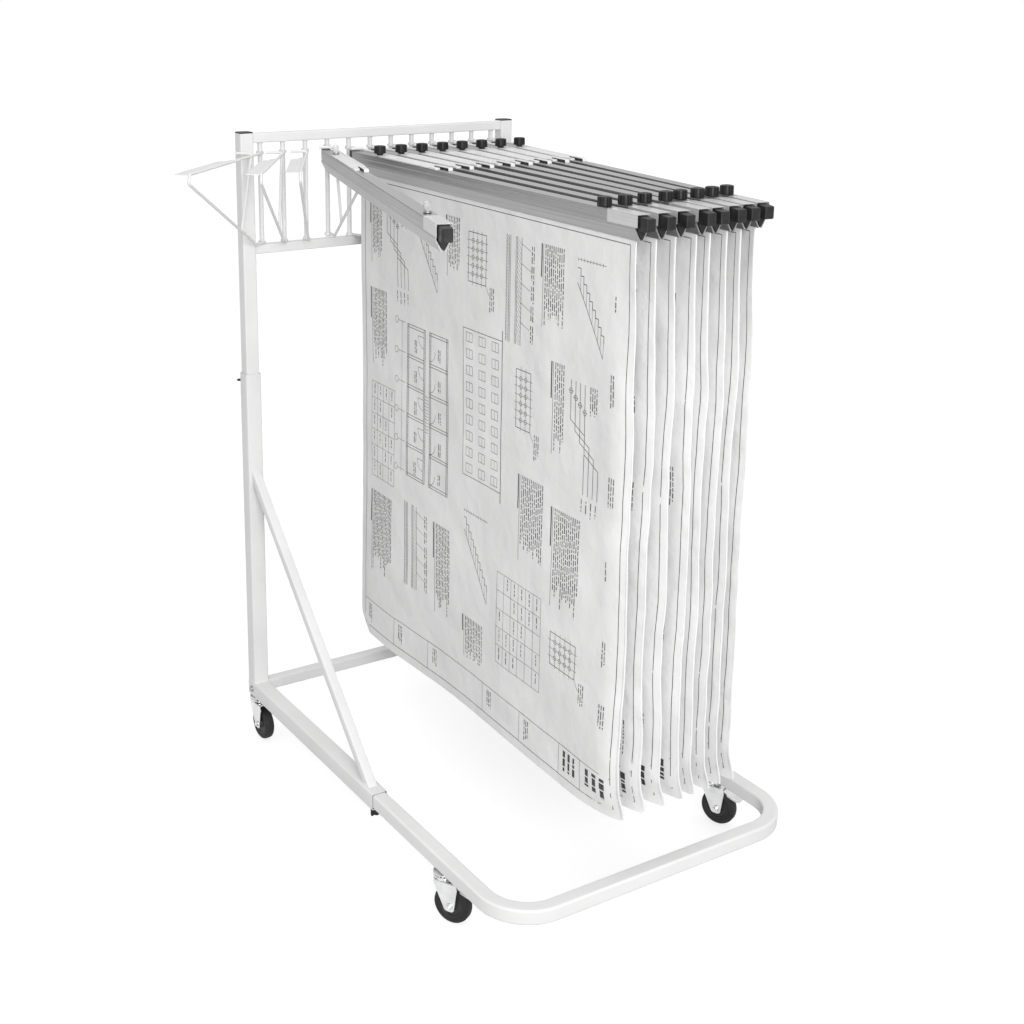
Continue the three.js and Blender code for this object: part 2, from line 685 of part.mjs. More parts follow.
function upAt(at, bottomRadius, topRadius, z0, z1) {
  return upright(bottomRadius, topRadius, z0, z1, 12).translate(CLAMP_CENTRE, -at, 0);
}

function knob(at, foot) {
  const radius = KNOB_DIAMETER / 2;
  return upAt(at, radius, radius - 2, foot, foot + KNOB_HEIGHT);
}

// The rear knob stands on a collar over the hanger's plate and holds the clamp to it
function straightClamp() {
  const overlap = CLAMP_WALL / 2;
  const collarFoot = PLATE_TOP + GAP;
  const collarTop = collarFoot + COLLAR_HEIGHT;
  const stud = STUD_DIAMETER / 2;
  const collar = COLLAR_DIAMETER / 2;
  return joined([
    clampBar(channelOutline(), CLAMP_REAR, CLAMP_FRONT),
    ...endCap(CLAMP_REAR, -1),
    ...endCap(CLAMP_FRONT, 1),
    upAt(REAR_KNOB_AT, stud, stud, CLAMP_TOP - overlap, collarFoot + overlap),
    upAt(REAR_KNOB_AT, collar, collar, collarFoot, collarTop + overlap),
    knob(REAR_KNOB_AT, collarTop),
    knob(FRONT_KNOB_AT, CLAMP_TOP - overlap),
  ]);
}

function studHole(at) {
  const radius = STUD_DIAMETER / 2 + GAP;
  const past = 1;
  return upAt(at, radius, radius, CLAMP_TOP - CLAMP_WALL - past, CLAMP_TOP + past);
}

function fixedJaw() {
  const bar = joined([
    clampBar(fixedJawOutline(), CLAMP_REAR, CLAMP_FRONT),
    ...endCap(CLAMP_REAR, -1),
    ...endCap(CLAMP_FRONT, 1),
  ]);
  return cutAway(bar, [studHole(REAR_KNOB_AT), studHole(FRONT_KNOB_AT)]);
}

function movingJaw() {
  const top = CLAMP_WALL + GAP;
  const outline = mirrored([...jawOutline(top), [HALF_BOX - CLAMP_WALL, -top]]);
  return closedGeometry(clampBar(outline, CLAMP_REAR + JAW_END_CLEARANCE, CLAMP_FRONT - JAW_END_CLEARANCE));
}

// Thumb screw of the empty clamp: stud, collar and an upright tab
function thumbScrew(at, foot) {
  const overlap = 1;
  const stud = STUD_DIAMETER / 2;
  const collar = COLLAR_DIAMETER / 2;
  const collarTop = foot + COLLAR_HEIGHT;
  const halfWidth = THUMB_TAB_WIDTH / 2;
  const halfThick = THUMB_TAB_THICKNESS / 2;
  const tabTop = foot + THUMB_SCREW_HEIGHT;
  const tab = box(-halfWidth, halfWidth, -halfThick, halfThick, collarTop - overlap, tabTop);
  return joined([
    upAt(at, stud, stud, CLAMP_TOP - STUD_DEPTH, foot + overlap),
    upAt(at, collar, collar, foot, collarTop),
    tab.translate(CLAMP_CENTRE, -at, 0),
  ]);
}

// Plan sets: flat in the clamp, swaying more and more towards the hem
function planSet(index) {
  const across = 12;
  const down = 8;
  const sheet = new THREE.BoxGeometry(PLAN_THICKNESS, PLAN_WIDTH, PLAN_LENGTH, 1, across, down);
  const top = CLAMP_TOP - CLAMP_HEIGHT + PLAN_INSERTION;
  sheet.translate(CLAMP_CENTRE, -PLAN_REAR_AT - PLAN_WIDTH / 2, top - PLAN_LENGTH / 2);
  const position = sheet.getAttribute('position');
  const phase = 0.9 * index;
  for (let i = 0; i < position.count; i += 1) {
    const along = (-position.getY(i) - PLAN_REAR_AT) / PLAN_WIDTH;
    const below = Math.max(0, (top - PLAN_INSERTION - PLAN_HELD_FLAT - position.getZ(i)) / PLAN_LENGTH);
    const wave = PLAN_SWAY * Math.sin(2 * Math.PI * 1.3 * along + phase);
    const ripple = PLAN_RIPPLE * Math.sin(2 * Math.PI * 2.2 * along - phase);
    const corner = Math.max(0, (along - 0.72) / 0.28) * Math.max(0, (below - 0.7) / 0.3);
    const rearCorner = Math.max(0, (0.2 - along) / 0.2) * Math.max(0, (below - 0.75) / 0.25);
    const turn = FRONT_CORNER_TURN * corner * corner + REAR_CORNER_TURN * rearCorner;
    position.setX(i, position.getX(i) + (wave + ripple) * below * below + turn);
  }
  return closedGeometry(sheet);
}

for (let i = 0; i < SPINDLE_COUNT; i += 1) {
  const number = String(i + 1).padStart(2, '0');
  const place = hangerPlace(i);
  addPiece(`hanger_${number}`, hanger().applyMatrix4(place), 'white');
  if (i >= FIRST_LOADED) {
    addPiece(`clamp_${number}`, straightClamp().applyMatrix4(place), 'aluminium');
    addPiece(`plan_set_${number}`, planSet(i).applyMatrix4(place), 'paper');
  }
  if (i === EMPTY_CLAMP) {
    addPiece(`clamp_${number}_fixed_jaw`, fixedJaw().applyMatrix4(place), 'aluminium');
    addPiece(`clamp_${number}_moving_jaw`, movingJaw().applyMatrix4(place), 'aluminium');
    const rearScrew = thumbScrew(REAR_KNOB_AT, PLATE_TOP + GAP);
    const frontScrew = thumbScrew(FRONT_KNOB_AT, CLAMP_TOP + GAP);
    addPiece(`clamp_${number}_screw_rear`, rearScrew.applyMatrix4(place), 'zinc');
    addPiece(`clamp_${number}_screw_front`, frontScrew.applyMatrix4(place), 'zinc');
  }
}

// Origin to the middle of the underside
const extent = new THREE.Box3().setFromObject(rack);
const middle = extent.getCenter(new THREE.Vector3());
for (const mesh of rack.children) {
  mesh.geometry.translate(-middle.x, -middle.y, -extent.min.z);
}

export default rack;
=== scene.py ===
# Looks of a plan hanging rack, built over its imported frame.
# Metres, +Z up, the front is -Y. A piece is made with x = 0 midway between the
# posts, y = 0 on the posts' axis and z = 0 on the floor, or in the frame of the
# hanger or caster that it belongs to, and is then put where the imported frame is.
import math
import random

import bmesh
import bpy
from mathutils import Matrix, Vector, noise

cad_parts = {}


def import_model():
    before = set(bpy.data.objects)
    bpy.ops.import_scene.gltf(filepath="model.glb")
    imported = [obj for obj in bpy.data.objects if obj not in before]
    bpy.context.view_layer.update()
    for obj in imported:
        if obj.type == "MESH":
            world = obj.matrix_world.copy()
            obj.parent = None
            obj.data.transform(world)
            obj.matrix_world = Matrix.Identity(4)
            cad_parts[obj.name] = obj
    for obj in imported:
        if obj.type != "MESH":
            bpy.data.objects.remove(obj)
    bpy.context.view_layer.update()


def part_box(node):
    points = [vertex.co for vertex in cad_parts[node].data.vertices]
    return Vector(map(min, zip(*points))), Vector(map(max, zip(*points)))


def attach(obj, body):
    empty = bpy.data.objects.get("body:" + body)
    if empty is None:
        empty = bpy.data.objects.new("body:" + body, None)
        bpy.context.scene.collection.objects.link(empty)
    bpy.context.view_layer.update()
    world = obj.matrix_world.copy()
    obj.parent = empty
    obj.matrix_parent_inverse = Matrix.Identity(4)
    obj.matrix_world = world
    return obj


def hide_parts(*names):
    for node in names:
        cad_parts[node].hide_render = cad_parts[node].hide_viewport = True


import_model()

X = Vector((1, 0, 0))
Y = Vector((0, 1, 0))
Z = Vector((0, 0, 1))

# Frame tubes
OUTER_TUBE = 0.035
INNER_TUBE = 0.030
TUBE_WALL = 0.0015
TUBE_CORNER = 0.0032
BASE_UNDERSIDE = 0.100
BASE_TOP = BASE_UNDERSIDE + OUTER_TUBE
BASE_CENTRE = BASE_UNDERSIDE + OUTER_TUBE / 2
BASE_FRONT = -0.573
LOWER_POST_TOP = 0.868
UPPER_POST_BOTTOM = 0.568
UPPER_POST_TOP = 1.388
CAP_THICKNESS = 0.003
BRACE_SIZE = 0.020
BRACE_TOP = 0.648
BRACE_FOOT = -0.548
CROSS_RAIL_SIZE = 0.025
FRONT_LINE = -1.045
FRONT_TUBE_REAR = -0.240
FRONT_BEND_RADIUS = 0.090
HEAD_RAIL_SIZE = 0.020
TOP_RAIL_UNDERSIDE = 1.367
LOWER_RAIL_TOP = 1.150
SPINDLE_COUNT = 12
SPINDLE_PITCH = 0.053
SPINDLE_RADIUS = 0.005
WELD_CORNER = 0.004
WELD_STEP = 0.0006
LINER_LENGTH = 0.012
LINER_BELOW_MOUTH = 0.0006
HEIGHT_SCREW_FROM_TUBE_END = 0.020
HEIGHT_SCREW_HUB_LENGTH = 0.009
HEIGHT_SCREW_SPAN = 0.042
DEPTH_SCREW_FROM_TUBE_END = 0.013
DEPTH_SCREW_HUB_LENGTH = 0.018
DEPTH_SCREW_SPAN = 0.026
SCREW_TIP_GAP = 0.0003

# Casters
WHEEL_RADIUS = 0.0375
WHEEL_HALF_WIDTH = 0.011
CASTER_TRAIL = 0.020
FORK_HEAD_TOP = 0.087
FORK_FRONT = 0.016
FORK_BACK = 0.032
FORK_SPLAY = 0.004
LEG_INNER = 0.0135
LEG_OUTER = 0.016
FRONT_CASTER_Y = -0.820
REAR_CASTER_Y = 0.0
BALL_COUNT = 18
BALL_RADIUS = 0.0022
BALL_CIRCLE = 0.0172
AXLE_RADIUS = 0.005
PEDAL_TILT = 17
PEDAL_PIN_RADIUS = 0.003
PEDAL_PIN_BEHIND_AXLE = 0.007
PEDAL_PIN_BELOW_HEAD = 0.008
PEDAL_HALF_THICKNESS = 0.0013
PEDAL_RIB_COUNT = 4
PEDAL_RIB_PITCH = 0.005
SWIVELS = {"front_left": 28, "front_right": 22, "rear_left": 2, "rear_right": -20}

# Hangers
WIRE_RADIUS = 0.003
WIRE_SIDE = 0.006
HANGER_REACH = 0.388
HANGER_DROP = 0.017
CROSS_BAR_AT = 0.065
CROSS_BAR_LEFT = -0.027
CROSS_BAR_ABOVE_ARM = 0.0047
STRUT_FOOT_AT = 0.130
DIAGONAL_FOOT_AT = 0.050
PLATE_THICKNESS = 0.002
PLATE_LEFT = -0.022
PLATE_REAR_AT = 0.140
PLATE_FRONT_AT = 0.390
PLATE_SLANT_FROM = 0.002
PLATE_SLANT = 0.042
HANGER_LEFT_TURN = [45.5, 32.4, 28.5, 17.06, 1.27, 1.85, 2.52, 2.95, 4.15, 4.95, 6.04, 7.09]
EMPTY_HANGER_LIFT = 0.0055

# Clamps
CLAMP_TOP = 1.344
CLAMP_CENTRE = -0.011
CLAMP_REAR = 0.063
CLAMP_FRONT = 1.068
CLAMP_HEIGHT = 0.044
CLAMP_HALF_BOX = 0.0125
CLAMP_HALF_WIDTH = 0.0135
CLAMP_BOX_HEIGHT = 0.022
CLAMP_WALL = 0.002
CLAMP_HALF_SLOT = 0.002
SLEEVE_LENGTH = 0.081
END_CAP_DEPTH = 0.020
END_CAP_HALF_WIDTH = 0.0093
END_CAP_HEIGHT = 0.022
END_CAPS_BELOW_TOP = {"rear": -0.001, "front": 0.004}
SLEEVE_PAST_CHANNEL = 0.005
CATCH_REAR = 0.3925
CATCH_STRIP_FRONT = 0.421
CATCH_FRONT = 0.447
CATCH_LEFT = -0.0085
CATCH_RIGHT = 0.0012
CATCH_HEIGHT = 0.0062
CATCH_COVER_THICKNESS = 0.0016
CATCH_STRIP_THICKNESS = 0.0032
KNOB_RADIUS = 0.0125
KNOB_HEIGHT = 0.016
KNOB_RIBS = 12
KNOBS_AT = {"rear": 0.168, "front": 0.961}
STUD_RADIUS = 0.003
STUD_SLOT = 0.008
COLLAR_RADIUS = 0.007
COLLAR_HEIGHT = 0.0035
THUMB_TAB_WIDTH = 0.011
THUMB_TAB_THICKNESS = 0.0035
THUMB_SCREW_HEIGHT = 0.020
GAP = 0.0003
PLATE_FOOT = CLAMP_TOP + GAP
ARM_Z = PLATE_FOOT + PLATE_THICKNESS / 2
SCREW_FEET = {"rear": PLATE_THICKNESS + 2 * GAP, "front": GAP}

# Plan sets
PLAN_WIDTH = 0.965
PLAN_LENGTH = 1.074
PLAN_THICKNESS = 0.0026
PLAN_REAR_AT = 0.085
PLAN_INSERTION = 0.024
PLAN_TOP = CLAMP_TOP - CLAMP_HEIGHT + PLAN_INSERTION
LEAF_THICKNESS = 0.0003
LEAF_GAP = 0.0011
INK_GAP = 0.00022
FIRST_LOADED = 5
EMPTY_CLAMP = 4

# Camera, as fitted to the straight tubes of the photograph, from the posts' axis
CAMERA_FROM_POSTS = Vector((-1.6114, -2.9010, 1.7057))
CAMERA_YAW = -31.993
CAMERA_PITCH = 14.255
CAMERA_ROLL = 0.458
CAMERA_LENS = 52.31
CAMERA_SENSOR = 36
CAMERA_SHIFT = (0.0552, -0.1518)

left_low, left_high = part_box("upper_post_left")
right_low, right_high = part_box("upper_post_right")
POST_X = ((right_low + right_high) / 2 - (left_low + left_high) / 2).x / 2
FRAME_ORIGIN = (left_low + left_high + right_low + right_high) / 4
FRAME_ORIGIN.z = 0
FRAME_PLACE = Matrix.Translation(FRAME_ORIGIN)
SIDES = {"left": -POST_X, "right": POST_X}

# Edges that meet at more than these angles are kept sharp, or bevelled
SHARP_ANGLE = math.radians(34)
BEVEL_ANGLE = math.radians(40)


# Places, outlines and paths

def moved(x, y, z):
    return Matrix.Translation((x, y, z))


def spun(degrees, axis):
    return Matrix.Rotation(math.radians(degrees), 4, axis)


def rounded(corners, radius, steps, closed=True):
    """Line of flat points with every corner, or every inner corner of an open line, made an arc."""
    points = []
    count = len(corners)
    for i, corner in enumerate(corners):
        here = Vector(corner)
        if not closed and i in (0, count - 1):
            points.append(here)
            continue
        back = Vector(corners[i - 1]) - here
        ahead = Vector(corners[(i + 1) % count]) - here
        half = back.angle(ahead) / 2
        reach = min(radius / math.tan(half), 0.48 * back.length, 0.48 * ahead.length)
        bend = reach * math.tan(half)
        middle = here + (back.normalized() + ahead.normalized()).normalized() * bend / math.sin(half)
        start = here + back.normalized() * reach - middle
        turn = start.angle_signed(here + ahead.normalized() * reach - middle)
        for k in range(steps + 1):
            angle = math.atan2(start.y, start.x) - turn * k / steps
            points.append(middle + Vector((math.cos(angle), math.sin(angle))) * bend)
    return points


def rectangle(left, low, right, high, corner, steps):
    return rounded([(left, low), (right, low), (right, high), (left, high)], corner, steps)


def square(size, corner):
    half = size / 2
    return rectangle(-half, -half, half, half, corner, 4)


def circle(radius, sides):
    turns = [2 * math.pi * k / sides for k in range(sides)]
    return [Vector((radius * math.cos(t), radius * math.sin(t))) for t in turns]


def ring(section, at, along, reference):
    """The flat section stood square to a direction."""
    across = reference.cross(along).normalized()
    up = along.cross(across).normalized()
    return [at + across * p.x + up * p.y for p in section]


def directions(path):
    found = []
    for i in range(len(path)):
        total = Vector((0, 0, 0))
        if i > 0:
            total += (path[i] - path[i - 1]).normalized()
        if i < len(path) - 1:
            total += (path[i + 1] - path[i]).normalized()
        found.append(total.normalized())
    return found


def cut_to(points, along, plane_at, normal):
    """Ring slid along its direction until it lies in a plane."""
    return [p + along * ((plane_at - p).dot(normal) / along.dot(normal)) for p in points]


def weighed(mesh):
    """The mesh with normals that follow its larger faces, so that flats beside round corners look flat."""
    name = mesh.name
    holder = bpy.data.objects.new("holder", mesh)
    bpy.context.scene.collection.objects.link(holder)
    holder.modifiers.new("weigh", "WEIGHTED_NORMAL").keep_sharp = True
    done = bpy.data.meshes.new_from_object(holder.evaluated_get(bpy.context.evaluated_depsgraph_get()))
    bpy.data.objects.remove(holder)
    bpy.data.meshes.remove(mesh)
    done.name = name
    return done


class Form:
    """Points and faces of one piece, gathered from several simple shapes."""

    def __init__(self):
        self.points = []
        self.faces = []
        self.finishes = []
        self.spots = []

    def add(self, points, faces, finish=0, spots=None):
        start = len(self.points)
        self.points.extend(points)
        for k, face in enumerate(faces):
            self.faces.append([start + i for i in face])
            self.finishes.append(finish)
            self.spots.append(spots[k] if spots else [(0.0, 0.0)] * len(face))

    def loft(self, rings, finish=0, loop=False, capped=True, spot=None):
        """Skin over a row of rings; spot gives the flat place of ring i at point k."""
        count = len(rings[0])
        rows = len(rings)
        faces = []
        spots = []
        for i in range(rows if loop else rows - 1):
            j = (i + 1) % rows
            for k in range(count):
                n = (k + 1) % count
                faces.append((i * count + k, i * count + n, j * count + n, j * count + k))
                if spot:
                    spots.append([spot(i, k), spot(i, k + 1), spot(i + 1, k + 1), spot(i + 1, k)])
        if capped and not loop:
            for first, order in ((0, -1), ((rows - 1) * count, 1)):
                faces.append([first + k for k in range(count)][::order])
                if spot:
                    spots.append([(p.x, p.z) for p in rings[0]][::order])
        self.add([p for one in rings for p in one], faces, finish, spots or None)

    def sweep(self, section, path, reference, finish=0):
        steps = zip(path, directions(path))
        self.loft([ring(section, at, along, reference) for at, along in steps], finish)

    def tube(self, path, size, reference, corner=TUBE_CORNER, finish=0, ends=None):
        """Square tube with its bore; ends holds a plane for each end that is cut on a slant."""
        outer = []
        inner = []
        ways = directions(path)
        for i, (at, along) in enumerate(zip(path, ways)):
            for rings, width, bend in ((outer, size, corner), (inner, size - 2 * TUBE_WALL, corner / 2)):
                one = ring(square(width, bend), at, along, reference)
                if ends and i in (0, len(path) - 1):
                    one = cut_to(one, along, *ends[0 if i == 0 else 1])
                rings.append(one)
        self.loft(outer + inner[::-1], finish, loop=True)

    def turned(self, profile, sides, place=Matrix.Identity(4), finish=0, loop=False):
        """Body turned about the place's upright axis from pairs of radius and height."""
        rings = []
        for radius, height in profile:
            rings.append([place @ Vector((p.x, p.y, height)) for p in circle(radius, sides)])
        self.loft(rings, finish, loop=loop)

    def slab(self, outline, low, high, place=Matrix.Identity(4), finish=0):
        """Flat outline given a thickness along the place's upright axis."""
        rings = [[place @ Vector((p[0], p[1], height)) for p in outline] for height in (low, high)]
        self.loft(rings, finish)

    def box(self, low, high, finish=0):
        corners = [(low[0], low[1]), (high[0], low[1]), (high[0], high[1]), (low[0], high[1])]
        self.slab(corners, low[2], high[2], finish=finish)

    def take(self, mesh, place=Matrix.Identity(4), finish=0):
        self.add([place @ v.co for v in mesh.vertices], [list(p.vertices) for p in mesh.polygons], finish)

    def mesh(self, name, finishes, closed=True):
        made = bpy.data.meshes.new(name)
        made.from_pydata(self.points, [], self.faces)
        for finish in finishes:
            made.materials.append(finish)
        made.polygons.foreach_set("material_index", self.finishes)
        places = made.uv_layers.new(name="surface")
        places.data.foreach_set("uv", [value for face in self.spots for spot in face for value in spot])
        if closed:
            work = bmesh.new()
            work.from_mesh(made)
            bmesh.ops.recalc_face_normals(work, faces=work.faces)
            work.to_mesh(made)
            work.free()
        made.polygons.foreach_set("use_smooth", [True] * len(made.polygons))
        made.set_sharp_from_angle(angle=SHARP_ANGLE)
        return weighed(made)


def make_piece(name, form, finishes, body, place=FRAME_PLACE, stands_for=(), bevel=0.0,
               closed=True):
    made = form.mesh(name, finishes, closed)
    made.transform(place)
    piece = bpy.data.objects.new(name, made)
    bpy.context.scene.collection.objects.link(piece)
    if bevel:
        edge = piece.modifiers.new("edges", "BEVEL")
        edge.width = bevel
        edge.segments = 2
        edge.limit_method = "ANGLE"
        edge.angle_limit = BEVEL_ANGLE
        edge.harden_normals = True
    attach(piece, body)
    if stands_for:
        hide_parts(*stands_for)
    return piece


# Shader groups

def add_node(tree, kind, values=None, **settings):
    """New node; the settings are its own and the values go to its inputs."""
    node = tree.nodes.new(kind)
    for key, value in settings.items():
        setattr(node, key, value)
    for title, value in (values or {}).items():
        node.inputs[title].default_value = value
    return node


def wire(tree, *links):
    """Joins sockets; a link is a node, its output, the next node and its input."""
    for source, output, target, entry in links:
        tree.links.new(source.outputs[output], target.inputs[entry])


def noise_group(name, output, kind, detail, **inputs):
    """Group that reads noise at a place; the caller joins the noise to the output."""
    group = bpy.data.node_groups.new(name, "ShaderNodeTree")
    socket = group.interface.new_socket
    for title, input_kind in dict(Place="Vector", Scale="Float", **inputs).items():
        socket(name=title, in_out="INPUT", socket_type=f"NodeSocket{input_kind}")
    socket(name=output, in_out="OUTPUT", socket_type=f"NodeSocket{kind}")
    given = add_node(group, "NodeGroupInput")
    cloud = add_node(group, "ShaderNodeTexNoise", {"Detail": detail})
    wire(group, (given, "Place", cloud, "Vector"), (given, "Scale", cloud, "Scale"))
    return group, given, cloud, add_node(group, "NodeGroupOutput")


def tone_group():
    """Colour that drifts a little lighter and darker over the surface."""
    group, given, cloud, out = noise_group("tone drift", "Colour", "Color", 4, Dark="Color", Light="Color")
    spread = add_node(group, "ShaderNodeMapRange", {"From Min": 0.32, "From Max": 0.68})
    mix = add_node(group, "ShaderNodeMix", data_type="RGBA")
    wire(
        group,
        (cloud, "Fac", spread, "Value"),
        (spread, "Result", mix, "Factor"),
        (given, "Dark", mix, "A"),
        (given, "Light", mix, "B"),
        (mix, "Result", out, "Colour"),
    )
    return group


def sheen_group():
    """Roughness between two values, in soft patches with finer specks over them."""
    group, given, cloud, out = noise_group(
        "uneven sheen", "Roughness", "Float", 6, Smooth="Float", Rough="Float",
    )
    cloud.inputs["Roughness"].default_value = 0.65
    spread = add_node(group, "ShaderNodeMapRange", {"From Min": 0.3, "From Max": 0.7})
    wire(
        group,
        (cloud, "Fac", spread, "Value"),
        (given, "Smooth", spread, "To Min"),
        (given, "Rough", spread, "To Max"),
        (spread, "Result", out, "Roughness"),
    )
    return group


def relief_group():
    """Fine relief, such as orange peel, moulded grain or paper tooth."""
    group, given, cloud, out = noise_group(
        "fine relief", "Normal", "Vector", 3, Strength="Float", Depth="Float",
    )
    bump = add_node(group, "ShaderNodeBump")
    wire(
        group,
        (cloud, "Fac", bump, "Height"),
        (given, "Strength", bump, "Strength"),
        (given, "Depth", bump, "Distance"),
        (bump, "Normal", out, "Normal"),
    )
    return group


TONE = tone_group()
SHEEN = sheen_group()
RELIEF = relief_group()


def placed_group(tree, group, place, **values):
    node = add_node(tree, "ShaderNodeGroup", values, node_tree=group)
    tree.links.new(place, node.inputs["Place"])
    return node


def grey(value, warmth=0.0):
    return (value * (1 + warmth), value, value * (1 - warmth), 1)


def finish_material(name, greys, tone_scale, sheen, relief, warmth=0.0, metallic=0.0, along=None, gloss=0.5):
    """Principled material whose tone, roughness and relief all vary.

    greys holds the darker and lighter tone, sheen the lower and higher roughness and
    their scale, and relief its scale, strength and depth in metres. along, where it is
    given, reads all three from the flat map and stretches them by it.
    """
    material = bpy.data.materials.new(name)
    material.use_nodes = True
    tree = material.node_tree
    shader = tree.nodes["Principled BSDF"]
    coordinates = add_node(tree, "ShaderNodeTexCoord")
    place = coordinates.outputs["Object"]
    if along:
        stretch = add_node(tree, "ShaderNodeMapping", {"Scale": along})
        wire(tree, (coordinates, "UV", stretch, "Vector"))
        place = stretch.outputs["Vector"]
    dark, light = [grey(value, warmth) for value in greys]
    smooth, rough, sheen_scale = sheen
    relief_scale, strength, depth = relief
    tone = placed_group(tree, TONE, place, Scale=tone_scale, Dark=dark, Light=light)
    patches = placed_group(tree, SHEEN, place, Scale=sheen_scale, Smooth=smooth, Rough=rough)
    bump = placed_group(tree, RELIEF, place, Scale=relief_scale, Strength=strength, Depth=depth)
    wire(
        tree,
        (tone, "Colour", shader, "Base Color"),
        (patches, "Roughness", shader, "Roughness"),
        (bump, "Normal", shader, "Normal"),
    )
    shader.inputs["Metallic"].default_value = metallic
    shader.inputs["Specular IOR Level"].default_value = gloss
    return material


DARK_GLOSS = 0.28
WHITE = finish_material(
    "white powder coat", (0.70, 0.75), 7, (0.34, 0.48, 60), (750, 0.12, 0.0003), warmth=0.003,
)
BLACK = finish_material(
    "black moulded plastic", (0.009, 0.020), 60, (0.36, 0.52, 160), (1400, 0.25, 0.0002), gloss=DARK_GLOSS,
)
ZINC = finish_material(
    "bright zinc plate", (0.60, 0.74), 40, (0.12, 0.26, 70), (300, 0.06, 0.0002), warmth=-0.005, metallic=1.0,
)
DULL_ZINC = finish_material(
    "dulled zinc plate", (0.26, 0.40), 60, (0.24, 0.42, 90), (400, 0.10, 0.0002), warmth=-0.004, metallic=1.0,
)
RUBBER = finish_material(
    "black tyre rubber", (0.011, 0.024), 45, (0.55, 0.78, 90), (1100, 0.35, 0.0003), gloss=DARK_GLOSS,
)
HUB = finish_material(
    "dark hub plastic", (0.016, 0.030), 50, (0.4, 0.55, 120), (900, 0.15, 0.0002), gloss=DARK_GLOSS,
)
ALUMINIUM = finish_material(
    "drawn aluminium", (0.31, 0.40), 1, (0.34, 0.48, 2), (3, 0.25, 0.0002), metallic=1.0, along=(3, 420, 1),
)
SLEEVE = finish_material(
    "pale sleeve", (0.52, 0.60), 1, (0.32, 0.44, 2), (3, 0.2, 0.0002), metallic=0.5, along=(5, 420, 1),
)
# Two copies of the drawing paper: the lighter one, for the sets behind the first, is painted light that makes
# up for the shade between the sets; the darker one, for the first set, is painted shade.
PAPER = finish_material(
    "drawing paper", (0.77, 0.85), 6, (0.7, 0.9, 30), (15, 0.7, 0.009), warmth=0.002,
)
SHADE_PAINTED_FRONT_PAPER = finish_material(
    "handled drawing paper", (0.71, 0.79), 6, (0.7, 0.9, 30), (13, 0.6, 0.009), warmth=0.003,
)
PAPER_EDGE = finish_material(
    "stacked paper edge", (0.66, 0.88), 1, (0.8, 0.95, 2), (2, 0.4, 0.0004), along=(2, 3600, 1),
)
INK = finish_material("drawing ink", (0.018, 0.045), 90, (0.6, 0.8, 80), (900, 0.1, 0.0001))


# Geometry node trees for what repeats

def repeat_tree(name, **extra):
    """Tree that sets copies of a piece, in its finish, on points that the caller makes."""
    tree = bpy.data.node_groups.new(name, "GeometryNodeTree")
    socket = tree.interface.new_socket
    socket(name="Geometry", in_out="OUTPUT", socket_type="NodeSocketGeometry")
    inputs = {}
    for title, kind in dict(Piece="Object", Finish="Material", Count="Int", **extra).items():
        inputs[title] = socket(name=title, in_out="INPUT", socket_type=f"NodeSocket{kind}").identifier
    given = add_node(tree, "NodeGroupInput")
    info = add_node(tree, "GeometryNodeObjectInfo")
    copies = add_node(tree, "GeometryNodeInstanceOnPoints")
    real = add_node(tree, "GeometryNodeRealizeInstances")
    paint = add_node(tree, "GeometryNodeSetMaterial")
    out = add_node(tree, "NodeGroupOutput")
    wire(
        tree,
        (given, "Piece", info, "Object"),
        (info, "Geometry", copies, "Instance"),
        (copies, "Instances", real, "Geometry"),
        (real, "Geometry", paint, "Geometry"),
        (given, "Finish", paint, "Material"),
        (paint, "Geometry", out, "Geometry"),
    )
    return tree, given, copies, inputs


def circle_tree():
    """Copies in a circle, each turned to face outwards."""
    tree, given, copies, inputs = repeat_tree("pieces in a circle", Radius="Float")
    points = add_node(tree, "GeometryNodeMeshCircle")
    place = add_node(tree, "GeometryNodeInputPosition")
    face = add_node(tree, "FunctionNodeAlignRotationToVector", axis="X", pivot_axis="Z")
    wire(
        tree,
        (given, "Count", points, "Vertices"),
        (given, "Radius", points, "Radius"),
        (points, "Mesh", copies, "Points"),
        (place, "Position", face, "Vector"),
        (face, "Rotation", copies, "Rotation"),
    )
    return tree, inputs


def row_tree():
    """Copies in a straight row."""
    tree, given, copies, inputs = repeat_tree("pieces in a row", Start="Vector", Step="Vector")
    points = add_node(tree, "GeometryNodeMeshLine", mode="OFFSET")
    wire(
        tree,
        (given, "Count", points, "Count"),
        (given, "Start", points, "Start Location"),
        (given, "Step", points, "Offset"),
        (points, "Mesh", copies, "Points"),
    )
    return tree, inputs


def repeated(tree_and_inputs, form, finish, **values):
    """Plain mesh of a form repeated by a tree."""
    tree, inputs = tree_and_inputs
    one = bpy.data.objects.new("one", form.mesh("one", [finish]))
    many = bpy.data.objects.new("many", bpy.data.meshes.new("many"))
    for piece in (one, many):
        bpy.context.scene.collection.objects.link(piece)
    grow = many.modifiers.new("repeat", "NODES")
    grow.node_group = tree
    for title, value in dict(values, Piece=one, Finish=finish).items():
        grow[inputs[title]] = value
    done = many.evaluated_get(bpy.context.evaluated_depsgraph_get())
    mesh = bpy.data.meshes.new_from_object(done)
    for piece in (one, many):
        bpy.data.objects.remove(piece)
    return mesh


IN_CIRCLE = circle_tree()
IN_ROW = row_tree()


# Frame

def weld_ring(form, at, along, reference, size):
    """Low bead of weld round the end of a square rail."""
    swell = [(-0.0012, 0.0), (-0.0006, 0.0022), (0.0006, 0.0022), (0.0014, 0.0)]
    rings = []
    for step, extra in swell:
        rings.append(ring(square(size + extra, WELD_CORNER), at + along * step, along, reference))
    form.loft(rings)


